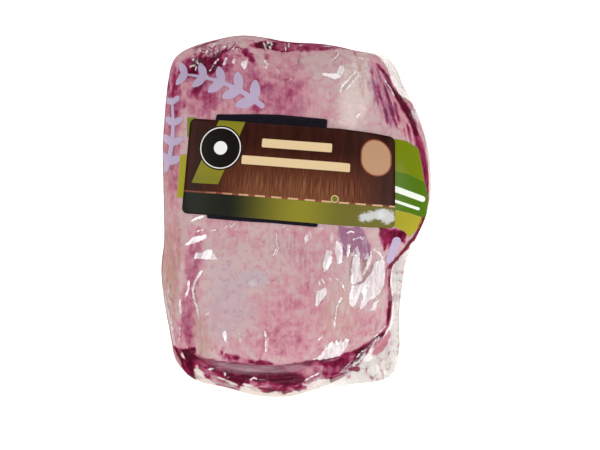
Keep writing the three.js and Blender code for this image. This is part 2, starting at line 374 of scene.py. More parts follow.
@dataclass(frozen=True)
class ShrinkFilm:
    """Clear coextruded shrink film, blown and stretched tight.

    It is thin, glossy, milky where it folds, and printed in flat inks; highlights are painted white into it and shade
    onto loose film's facets.
    """

    ior: float = 1.52
    edge_gloss: float = 0.25  # added where it is seen edge on; crumpled film reflects less there than a flat sheet
    roughness: float = 0.06
    tint: str = "fbf9f7"
    milk: str = "dedad4"
    # the next grey is painted shade on some facets of loose film, as if they caught less light
    milk_painted_shade: str = "c8c5c4"
    # the next white is painted highlight, laid into the diffuse colour where the film should catch the lamps
    painted_highlight_white: str = "fbf1f3"
    soil: str = "8c5550"
    bridge: str = "a5828d"
    lilac: str = "c1b1cd"
    lime: str = "6f7c0e"
    leaf: str = "4c6d12"
    lemon: str = "9f962b"
    cream: str = "e4e8dc"
    juice: str = "ad5269"
    clot: str = "74102f"
    stuck_gloss: float = 0.12  # share of a fold's gloss where the film is wet through and stuck on the meat
    stuck_roughness: float = 0.26  # there it takes on the meat's fine unevenness
    print_edge_mm: float = 0.18  # half the width over which an ink's edge fades
    juice_edge_mm: float = 1.2
    clot_edge_mm: float = 0.6
    crease_mm: float = 11.0  # distance between sharp creases
    facet_mm: float = 7.0  # width of the flat places between creases, some painted darker as shade
    highlight_and_pleat_milk: float = 0.84  # how white the strong painted highlights are, over milky loose pleats
    ridge_highlight: float = 0.2  # how white the painted highlights on the ridges of fine pleats are
    faint_highlight_milk: float = 0.5  # how white the soft painted highlights are, over film milky where it only just clears the meat
    crinkle_highlight: float = 0.6  # how white the painted highlights along the lines of crumpled film are
    crinkle_mm: float = 3.0  # distance between those lines
    crumple_mm: float = 2.6  # distance between the points of crumpled film
    pleat_mm: float = 2.2  # distance between fine pleats
    ripple_mm: float = 6.0  # distance between the slow ripples of tight film

    def material(self) -> bpy.types.Material:
        """Builds the material: gloss over clear film, milky folds with painted white highlights, and ink where the
        signed distances say.
        """
        material, tree, surface = blank_material("clear_shrink_film")
        place = millimetres(tree)
        crumpled, pleated, rippled = parted(tree, "crinkle")
        cloudy, bridging, soiled = parted(tree, "haze")
        relief, pleats = self._relief(tree, place, crumpled, pleated, rippled)
        bump = add_node(tree, "Bump", Strength=1.0, Distance=MM, Height=relief)
        wander = add_node(tree, "TexNoise", place, Scale=0.45, Detail=3.0)
        # painted highlights: white crinkle lines and pleat ridges, then the given shapes, strong and soft
        fold = self._painted_highlights(tree, place, crumpled, pleated, pleats)
        for name, strength, thin, soft in (
            ("milk_and_highlight", self.highlight_and_pleat_milk, 0.72, 0.4), ("milk_and_faint_highlight", self.faint_highlight_milk, 0.2, 1.2),
        ):
            ends = {"From Min": 0.4, "From Max": 0.6, "To Min": thin * strength, "To Max": strength}
            streaky = add_node(tree, "MapRange", pleats, **ends)
            milky = add_node(tree, "Math:MULTIPLY", self._painted(tree, name, wander, 2.4, soft), streaky)
            fold = add_node(tree, "Math:MAXIMUM", fold, milky)
        body = add_node(tree, "BsdfTransparent", linear(self.tint))
        for amount, hue in (
            (bridging, linear(self.bridge)),
            (cloudy, self._milk(tree, place, soiled)),
            # the painted highlights, as a white diffuse layer
            (fold, linear(self.painted_highlight_white)),
        ):
            body = add_node(tree, "MixShader", amount, body, add_node(tree, "BsdfDiffuse", hue))
        ink, cover = self._inks(tree)
        printed = add_node(tree, "MixShader", cover, body, add_node(tree, "BsdfDiffuse", ink))
        lifted = self._painted(tree, "stands_off", wander, 2.0, 0.3)
        rough = add_node(tree, "MapRange", lifted, **{"To Min": self.stuck_roughness, "To Max": self.roughness})
        gloss = add_node(tree, "BsdfGlossy", Roughness=rough, Normal=bump)
        tree.links.new(add_node(tree, "MixShader", self._mirror(tree, bump, lifted), printed, gloss), surface)
        return material

    def _relief(
        self, tree: Tree, place: Socket, crumpled: Socket, pleated: Socket, rippled: Socket
    ) -> tuple[Socket, Socket]:
        """The height in millimetres of what is finer than the mesh, and the pleats' own texture."""
        height, textures = 0.0, []
        waves = {"Distortion": 0.6, "Detail": 1.0}
        for amount, kind, apart, stretch, extra in (
            (crumpled, "TexVoronoi", self.crumple_mm, (1.0, 1.0, 1.0), {}),
            (pleated, "TexNoise", self.pleat_mm, (1.0, 0.2, 0.6), waves),
            (rippled, "TexNoise", self.ripple_mm, (1.0, 0.8, 1.0), waves),
        ):
            drawn = add_node(tree, "VectorMath:MULTIPLY", place, stretch)
            textures.append(add_node(tree, kind, drawn, Scale=1 / apart, **extra))
            height = add_node(tree, "Math:MULTIPLY_ADD", textures[-1], amount, height)
        return height, textures[1]

    def _mirror(self, tree: Tree, bump: Socket, lifted: Socket) -> Socket:
        """The share of light that the film's two faces throw back, least where it is stuck on the meat."""
        facing = add_node(tree, "LayerWeight", output="Facing", Blend=0.5, Normal=bump)
        steep = add_node(tree, "Math:POWER", facing, 5.0)
        one_face = ((self.ior - 1) / (self.ior + 1)) ** 2
        sheet = add_node(tree, "Math:MULTIPLY_ADD", steep, self.edge_gloss, 2 * one_face / (1 + one_face))
        share = add_node(tree, "MapRange", lifted, **{"To Min": self.stuck_gloss, "To Max": 1.0})
        return add_node(tree, "Math:MULTIPLY", sheet, share)

    def _painted_highlights(self, tree: Tree, place: Socket, crumpled: Socket, pleated: Socket, pleats: Socket) -> Socket:
        """Painted highlights: how white the film is painted along the lines of crumples and on the ridges of fine
        pleats.
        """
        lines = add_node(tree, "Math:MULTIPLY", self._creases(tree, place, self.crinkle_mm, 0.4), self.crinkle_highlight)
        bent = add_node(tree, "Math:MULTIPLY", lines, add_node(tree, "MapRange", **smooth(crumpled, 0.05, 0.3)))
        tops = add_node(tree, "MapRange", **smooth(pleats, 0.5, 0.6))
        ridges = add_node(tree, "Math:MULTIPLY", tops, add_node(tree, "MapRange", **smooth(pleated, 0.12, 0.3)))
        ridges = add_node(tree, "Math:MULTIPLY", ridges, self.ridge_highlight)
        return add_node(tree, "Math:MAXIMUM", bent, ridges)

    def _milk(self, tree: Tree, place: Socket, soiled: Socket) -> Socket:
        """The colour of loose film, in flat places of two greys, the darker painted shade, with soil in the creases."""
        cells = add_node(tree, "TexVoronoi", place, Scale=1 / self.facet_mm, output="Color")
        milk = lay_over(tree, self.milk, self.milk_painted_shade, add_node(tree, "SeparateColor", cells), 0.7)
        crease = self._creases(tree, place, self.crease_mm, 0.6)
        return lay_over(tree, milk, self.soil, add_node(tree, "Math:MULTIPLY", crease, soiled), 0.75)

    def _painted(self, tree: Tree, name: str, wander: Socket, ragged_mm: float, soft: float) -> Socket:
        """1 inside the shapes whose signed distance is in an attribute, with edges that noise makes ragged."""
        away = add_node(tree, "Attribute", attribute_name=name, output="Fac")
        shift = add_node(tree, "Math:MULTIPLY_ADD", wander, ragged_mm, -ragged_mm / 2)
        return add_node(tree, "MapRange", **smooth(add_node(tree, "Math:ADD", away, shift), soft, -soft))

    def _creases(self, tree: Tree, place: Socket, apart: float, width: float) -> Socket:
        """Thin broken lines where film has been bent sharply, with their distance apart and width in millimetres."""
        wander = add_node(tree, "TexNoise", place, Scale=0.16, Detail=2.0)
        moved = add_node(tree, "VectorMath:MULTIPLY_ADD", wander.node.outputs["Color"], (12.0, 12.0, 12.0), place)
        cells = add_node(tree, "TexVoronoi", moved, feature="DISTANCE_TO_EDGE", Scale=1 / apart, output="Distance")
        line = add_node(tree, "MapRange", **smooth(cells, width / apart, 0.3 * width / apart))
        return add_node(tree, "Math:MULTIPLY", line, add_node(tree, "MapRange", **smooth(wander, 0.42, 0.6)))

    def _inks(self, tree: Tree) -> tuple[Socket, Socket]:
        """The colour of the ink at each place, and how much of the film it covers."""
        printed = self.print_edge_mm
        colour, (_, cover) = self.lilac, self._ink(tree, "lilac", 0.8, printed)
        for name, strength, edge in (
            ("lime", 1.0, printed), ("leaf", 1.0, printed), ("lemon", 1.0, printed), ("cream", 0.9, printed),
            ("juice", 0.78, self.juice_edge_mm), ("clot", 0.9, self.clot_edge_mm),
        ):
            mask, share = self._ink(tree, name, strength, edge)
            colour = lay_over(tree, colour, getattr(self, name), mask)
            cover = add_node(tree, "Math:MAXIMUM", cover, share)
        return colour, cover

    def _ink(self, tree: Tree, name: str, strength: float, edge: float) -> tuple[Socket, Socket]:
        """Where one ink lies, with an edge this soft, and how much of the film it covers there."""
        away = add_node(tree, "Attribute", attribute_name=name, output="Fac")
        mask = add_node(tree, "MapRange", **smooth(away, edge, -edge))
        return mask, add_node(tree, "Math:MULTIPLY", mask, strength)


@dataclass(frozen=True)
class LabelInk:
    """Satin label film with a plain dark print, which picks up a soft and faintly uneven sheen."""

    ground: str = "15111a"
    paler: str = "221d2a"  # where the film picks up a little more light
    roughness: float = 0.45
    gloss: float = 0.07

    def material(self) -> bpy.types.Material:
        """Builds the material of a label with a plain ground."""
        material, tree, surface = blank_material("satin_label_film")
        flat = add_node(tree, "Attribute", attribute_name="print_mm", output="Vector")
        mottle = add_node(tree, "TexNoise", flat, Scale=0.35, Detail=2.0)
        colour = lay_over(tree, self.ground, self.paler, add_node(tree, "MapRange", **smooth(mottle, 0.4, 0.8)), 0.5)
        sheen = {"Roughness": self.roughness, "Specular IOR Level": self.gloss}
        tree.links.new(add_node(tree, "BsdfPrincipled", colour, **sheen), surface)
        return material


@dataclass(frozen=True)
class FrontPrint:
    """Printed label film under a thin gloss: brown boards over an olive band, a ribbon, a plain badge and blank bars.

    The print is laid out in millimetres from the label's middle.
    """

    board_dark: str = "240b08"
    board: str = "5a2f20"
    board_light: str = "8d5c3e"
    olive_dark: str = "20221b"
    olive: str = "868029"
    olive_end: str = "66602a"
    copper: str = "8c4a36"
    gilt: str = "d9b58c"
    ribbon: str = "847f24"
    ribbon_shade: str = "6a6f24"
    badge: str = "17120f"
    white: str = "e6e4e2"
    text: str = "d9bf94"
    medal: str = "b48c6c"
    cloud: str = "cfcfd0"
    roughness: float = 0.42
    gloss: float = 0.07
    grain_mm: float = 0.5  # width of one line of wood grain
    grain_stretch: float = 0.035  # how wide a line of grain is for its length
    dash_mm: float = 11.7  # from one dash of the copper line to the next
    dash_share: float = 0.61  # how much of that the dash takes up
    edge_mm: float = 0.16  # half the width over which a printed edge fades
    cloud_edge_mm: float = 1.2

    def material(self) -> bpy.types.Material:
        """Builds the material, painting each field of the print over the last."""
        material, tree, surface = blank_material("glossy_printed_label_film")
        flat = add_node(tree, "Attribute", attribute_name="print_mm", output="Vector")
        across, up, _ = add_node(tree, "SeparateXYZ", flat).node.outputs
        colour = self._boards(tree, flat, across, up)
        colour = self._ribbon(tree, flat, up, colour)
        colour = self._band(tree, flat, across, up, colour)
        colour = self._blocks(tree, flat, colour)
        sheen = {"Roughness": self.roughness, "Specular IOR Level": self.gloss}
        tree.links.new(add_node(tree, "BsdfPrincipled", colour, **sheen), surface)
        return material

    def _shape(
        self, tree: Tree, flat: Socket, centre: Point, half: Point, round_mm: float, turn: float = 0.0,
        soft: float | None = None,
    ) -> Socket:
        """The mask of a rectangle with round corners, or of a disc where its half size is all corner."""
        soft = soft or self.edge_mm
        own = add_node(
            tree, "Mapping", flat, vector_type="TEXTURE", Location=(*centre, 0), Rotation=(0, 0, math.radians(turn))
        )
        size = add_node(tree, "VectorMath:ABSOLUTE", own)
        past = add_node(tree, "VectorMath:SUBTRACT", size, (half[0] - round_mm, half[1] - round_mm, 1.0))
        outside = add_node(tree, "VectorMath:MAXIMUM", past, (0, 0, 0))
        away = add_node(tree, "VectorMath:LENGTH", outside, output="Value")
        return add_node(tree, "MapRange", **smooth(away, round_mm + soft, round_mm - soft))

    def _boards(self, tree: Tree, flat: Socket, across: Socket, up: Socket) -> Socket:
        """Upright wood grain, dark at the top and the left end and warmer low in the middle."""
        stretched = add_node(tree, "VectorMath:MULTIPLY", flat, (1.0, self.grain_stretch, 1.0))
        grain = add_node(tree, "TexNoise", stretched, Scale=1 / self.grain_mm, Detail=4.0, Distortion=0.15)
        broad = add_node(tree, "TexNoise", stretched, Scale=0.16, Detail=2.0)
        low = add_node(tree, "MapRange", **smooth(up, 20.0, -12.0))
        left = add_node(tree, "MapRange", **smooth(across, -66.0, -28.0))
        middle = add_node(tree, "Math:MULTIPLY", left, add_node(tree, "MapRange", **smooth(across, 76.0, 34.0)))
        warm = add_node(tree, "Math:MULTIPLY_ADD", add_node(tree, "Math:MULTIPLY", low, middle), 0.46, 0.1)
        contrast = add_node(tree, "Math:MULTIPLY_ADD", grain, 2.4, -1.2)
        streaks = add_node(tree, "Math:MULTIPLY_ADD", contrast, warm, warm)
        colour = add_node(tree, "ValToRGB", add_node(tree, "Math:MULTIPLY_ADD", broad, 0.25, streaks))
        fill_ramp(colour.node.color_ramp, ((0.15, self.board_dark), (0.55, self.board), (0.95, self.board_light)))
        return colour

    def _ribbon(self, tree: Tree, flat: Socket, up: Socket, colour: Socket) -> Socket:
        """A slanting ribbon with a shaded foot, cut off level above the band."""
        strip = self._shape(tree, flat, (-52.0, 11.0), (8.9, 40.0), 0.1, -19.0)
        mask = add_node(tree, "Math:MULTIPLY", strip, add_node(tree, "MapRange", **smooth(up, -11.5, -11.2)))
        colour = lay_over(tree, colour, self.ribbon, mask)
        foot = add_node(tree, "Math:MULTIPLY", mask, add_node(tree, "MapRange", **smooth(up, -5.4, -5.8)))
        lined = add_node(tree, "TexWave", flat, Scale=0.26, Distortion=0.4, output=1)
        return lay_over(tree, colour, self.ribbon_shade, add_node(tree, "Math:MULTIPLY", foot, lined), 0.8)

    def _band(self, tree: Tree, flat: Socket, across: Socket, up: Socket, colour: Socket) -> Socket:
        """The olive band, brightest right of the middle, under a dashed copper line."""
        below = add_node(tree, "MapRange", **smooth(up, -17.9, -18.3))
        colour = lay_over(tree, colour, self.olive_dark, below)
        for hue, start, end, strength in ((self.olive, -43.0, 12.0, 1.0), (self.olive_end, 6.0, 42.0, 0.9)):
            lit = add_node(tree, "Math:MULTIPLY", below, add_node(tree, "MapRange", **smooth(across, start, end)))
            colour = lay_over(tree, colour, hue, lit, strength)
        line = self._shape(tree, flat, (0.0, -17.4), (80.0, 0.55), 0.1)
        colour = lay_over(tree, colour, self.copper, line, 0.75)
        part = add_node(tree, "Math:FRACT", add_node(tree, "Math:MULTIPLY", across, 1 / self.dash_mm))
        ends = smooth(part, self.dash_share + 0.01, self.dash_share - 0.01)
        dash = add_node(tree, "Math:MULTIPLY", line, add_node(tree, "MapRange", **ends))
        shine = add_node(tree, "Math:MULTIPLY", dash, add_node(tree, "MapRange", **smooth(across, -72.0, -20.0)))
        return lay_over(tree, colour, self.gilt, shine, 0.85)

    def _blocks(self, tree: Tree, flat: Socket, colour: Socket) -> Socket:
        """The badge with its rings, two blank bars, the copper medal, a small plain mark and a pale smear."""
        badge, medal, mark = (-50.9, 13.9), (60.5, 16.0), (32.4, -15.2)
        for centre, half, round_mm, hue in (
            (badge, (15.4, 15.4), 15.4, self.badge),
            (badge, (14.4, 14.4), 14.4, self.white),
            (badge, (13.7, 13.7), 13.7, self.badge),
            (badge, (4.7, 4.7), 4.7, self.white),
            ((3.3, 19.4), (25.2, 3.0), 1.0, self.text),
            ((3.4, 6.9), (38.6, 3.0), 1.0, self.text),
            (medal, (11.2, 13.0), 11.1, self.copper),
            (medal, (10.3, 12.1), 10.2, self.medal),
            (mark, (2.6, 2.6), 2.6, self.gilt),
            (mark, (2.0, 2.0), 2.0, self.ribbon_shade),
        ):
            colour = lay_over(tree, colour, hue, self._shape(tree, flat, centre, half, round_mm))
        wander = add_node(tree, "TexNoise", flat, Scale=0.4, Detail=3.0, output="Color")
        moved = add_node(tree, "VectorMath:MULTIPLY_ADD", wander, (6.0, 6.0, 0.0), flat)
        for centre, half, turn in (((61.5, -22.0), (9.0, 3.0), 14.0), ((71.0, -21.5), (6.0, 4.6), -20.0)):
            smear = self._shape(tree, moved, centre, half, half[1] - 0.1, turn, self.cloud_edge_mm)
            colour = lay_over(tree, colour, self.cloud, smear, 0.8)
        return colour


@dataclass(frozen=True)
class LitAcrylic:
    """The frosted white acrylic of a light table, lit from below so that no shadow shows on it: faintly uneven."""

    colour: str = "f4f3f2"
    shade: str = "efeeed"
    lit: float = 0.72  # light from below, as a share of a white surface under the lamps

    def material(self) -> bpy.types.Material:
        """Builds the material."""
        material, tree, surface = blank_material("lit_frosted_acrylic")
        place = add_node(tree, "TexCoord", output="Object")
        uneven = add_node(tree, "TexNoise", place, Scale=6.0, Detail=2.0)
        colour = lay_over(tree, self.colour, self.shade, uneven, 0.5)
        lighting = {"Specular IOR Level": 0.2, "Emission Color": colour, "Emission Strength": self.lit}
        tree.links.new(add_node(tree, "BsdfPrincipled", colour, Roughness=0.8, **lighting), surface)
        return material


# ---------------------------------------------------------------- the bag's skin
@dataclass
class BagSkin:
    """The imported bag's outer skin as clean four-sided faces, ring by ring, for the film and the meat to start from."""

    node: bpy.types.Object
    levels: int = 2
    film_rim: float = 1.0  # how sharp subdivision keeps the film's edge, and below it the meat's
    meat_rim: float = 0.6

    def quads(self, drawn_in: bool) -> bmesh.types.BMesh:
        """Copies the skin with its loose triangles joined.

        Args:
            drawn_in: True leaves out the free film: its rings are drawn in to the girth of the meat.

        Returns:
            The skin in metres.
        """
        skin = bmesh.new()
        skin.from_mesh(self.node.data)
        bmesh.ops.remove_doubles(skin, verts=skin.verts, dist=WELD_M)
        skin.verts.ensure_lookup_table()
        spoke, ring = self._rings(skin)
        slants = [
            e for e in skin.edges
            if all(v in ring for v in e.verts)
            and spoke[e.verts[0]] != spoke[e.verts[1]]
            and ring[e.verts[0]] != ring[e.verts[1]]
        ]
        bmesh.ops.dissolve_edges(skin, edges=slants, use_verts=False)
        crease = skin.edges.layers.float.new("crease_edge")
        for edge in skin.edges:
            if all(ring.get(v, 0) - CROWN_RINGS in RIM_RINGS for v in edge.verts):
                edge[crease] = self.meat_rim if drawn_in else self.film_rim
        if drawn_in:
            self._draw_in(spoke, ring)
        return skin

    def _rings(self, skin: bmesh.types.BMesh) -> tuple[dict, dict]:
        """Each vertex's spoke, by its direction, and its ring, by the steps to it from the top of its spoke."""
        turn = 2 * math.pi / SPOKES
        poles = {v for v in skin.verts if math.hypot(v.co.x, v.co.y) < ON_AXIS_M}
        spoke = {v: round(math.atan2(v.co.y, v.co.x) / turn) % SPOKES for v in skin.verts if v not in poles}
        top = max(poles, key=lambda v: v.co.z)
        ring = {}
        here = [e.other_vert(top) for e in top.link_edges]
        count = 1
        while here:
            ring.update({v: count for v in here})
            beside = (e.other_vert(v) for v in here for e in v.link_edges if spoke.get(e.other_vert(v)) == spoke[v])
            here = [v for v in beside if v not in ring]
            count += 1
        return spoke, ring

    def _draw_in(self, spoke: dict, ring: dict) -> None:
        """Moves the rings of the free film onto the short wall between the girth's upper and lower ring."""
        by_spoke = {(spoke[v], ring[v]): v for v in ring}
        directions, shares = zip(*MEAT_IN_FLAP)
        for (own_spoke, own_ring), vertex in by_spoke.items():
            out = own_ring - CROWN_RINGS
            if 0 < out < FLAP_RINGS:
                upper = by_spoke[own_spoke, CROWN_RINGS].co
                lower = by_spoke[own_spoke, CROWN_RINGS + FLAP_RINGS].co
                share = float(np.interp(own_spoke * 360 / SPOKES, directions, shares))
                vertex.co = upper.lerp(lower, out / FLAP_RINGS).lerp(vertex.co, share)

    def past_girth(self, x: np.ndarray, y: np.ndarray) -> np.ndarray:
        """How far each place lies past the girth, measured out from the pack's middle, in millimetres."""
        skin = self.quads(drawn_in=False)
        spoke, ring = self._rings(skin)
        girth = sorted((spoke[v] * 360 / SPOKES, v.co.xy.length / MM) for v in ring if ring[v] == CROWN_RINGS)
        skin.free()
        turns = np.degrees(np.arctan2(y, x)) % 360
        return np.hypot(x, y) - np.interp(turns, *zip(*girth), period=360)

    def smooth_mesh(self, name: str, drawn_in: bool) -> bpy.types.Mesh:
        """The skin after subdivision, as a mesh of its own."""
        skin = self.quads(drawn_in)
        rough = bpy.data.meshes.new(name + "_cage")
        skin.to_mesh(rough)
        skin.free()
        cage = in_scene(name + "_cage", rough)
        divide = cage.modifiers.new("divide", "SUBSURF")
        divide.levels = divide.render_levels = self.levels
        graph = bpy.context.evaluated_depsgraph_get()
        mesh = bpy.data.meshes.new_from_object(cage.evaluated_get(graph))
        mesh.name = name
        bpy.data.objects.remove(cage)
        bpy.data.meshes.remove(rough)
        mesh.polygons.foreach_set("use_smooth", [True] * len(mesh.polygons))
        return mesh


@dataclass
class Surface:
    """The vertices of a mesh as arrays in millimetres."""

    mesh: bpy.types.Mesh
    place: np.ndarray = field(init=False)
    normal: np.ndarray = field(init=False)

    def __post_init__(self) -> None:
        """Reads the places and normals."""
        count = len(self.mesh.vertices)
        place, normal = np.zeros(count * 3), np.zeros(count * 3)
        self.mesh.vertices.foreach_get("co", place)
        self.mesh.vertices.foreach_get("normal", normal)
        self.place, self.normal = place.reshape(-1, 3) / MM, normal.reshape(-1, 3)

    @property
    def x(self) -> np.ndarray:
        """Places along X."""
        return self.place[:, 0]

    @property
    def y(self) -> np.ndarray:
        """Places along Y."""
        return self.place[:, 1]

    @property
    def z(self) -> np.ndarray:
        """Heights."""
        return self.place[:, 2]

    def past_cut(self) -> np.ndarray:
        """How far each vertex lies outside the arc of the sawn end's upper edge, carried on all round."""
        return np.hypot(self.x - CUT_CENTRE[0], self.y - CUT_CENTRE[1]) - CUT_RADIUS

    def off_the_base(self) -> np.ndarray:
        """0 on the flat underside, whose markings are its own, rising to 1 on the flanks and above."""
        return ease(self.normal[:, 2], -0.95, -0.45)

    def push(self, out: np.ndarray) -> None:
        """Moves every vertex out along its normal, never below the floor, and writes the mesh."""
        moved = self.place + self.normal * out[:, None]
        moved[:, 2] = np.maximum(moved[:, 2], 0.0)
        self.mesh.vertices.foreach_set("co", (moved * MM).ravel())
        self.mesh.update()

    def store(self, name: str, values: np.ndarray) -> None:
        """Keeps one number for each vertex, or four as a colour, in an attribute that a material reads."""
        if values.ndim == 1:
            self.mesh.attributes.new(name, "FLOAT", "POINT").data.foreach_set("value", values.astype(np.float32))
        else:
            layer = self.mesh.attributes.new(name, "FLOAT_COLOR", "POINT")
            layer.data.foreach_set("color", values.astype(np.float32).ravel())


# ---------------------------------------------------------------- marks, and the meat
@dataclass(frozen=True)
class Patch:
    """A soft-edged oval of one kind of tissue or film, seen from above."""

    at: Point
    reach: Point
    amount: float
    turn: float = 0.0
    edge: float = 0.5  # share of the reach over which it fades

    def share(self, surface: Surface, ragged: np.ndarray | float) -> np.ndarray:
        """How much of the patch covers each vertex, from 0 to 1, with its edge shifted by ragged."""
        angle = math.radians(self.turn)
        dx, dy = surface.x - self.at[0], surface.y - self.at[1]
        along = (dx * math.cos(angle) + dy * math.sin(angle)) / self.reach[0]
        across = (dy * math.cos(angle) - dx * math.sin(angle)) / self.reach[1]
        return ease(np.hypot(along, across) + 0.3 * ragged, 1 + self.edge / 2, 1 - self.edge / 2)


@dataclass(frozen=True)
class Seam:
    """A line of tissue between two muscles, or a streak, that tapers at its ends."""

    line: Line
    half_width: float
    amount: float

    def share(self, surface: Surface, ragged: np.ndarray) -> np.ndarray:
        """How much of the seam covers each vertex, from 0 to 1."""
        away, along = along_line(surface.x, surface.y, self.line)
        taper = np.clip(6 * np.minimum(along, 1 - along), 0.15, 1.0) ** 0.5
        return ease(away / (self.half_width * taper) + 0.22 * ragged, 1.35, 0.55)


@dataclass(frozen=True)
class Area:
    """Tissue of one kind inside a closed outline, soft at its edge."""

    outline: Line
    amount: float
    soft: float = 1.2

    def share(self, surface: Surface, ragged: np.ndarray) -> np.ndarray:
        """How much of the area covers each vertex, from 0 to 1."""
        away = inside_outline(surface.x, surface.y, self.outline)
        return ease(away + 1.6 * ragged, self.soft, -self.soft)


def most(marks: tuple[Patch | Seam | Area, ...], surface: Surface, ragged: np.ndarray | float) -> np.ndarray:
    """The largest of the marks' amounts at every vertex."""
    return np.max([mark.amount * mark.share(surface, ragged) for mark in marks], axis=0)


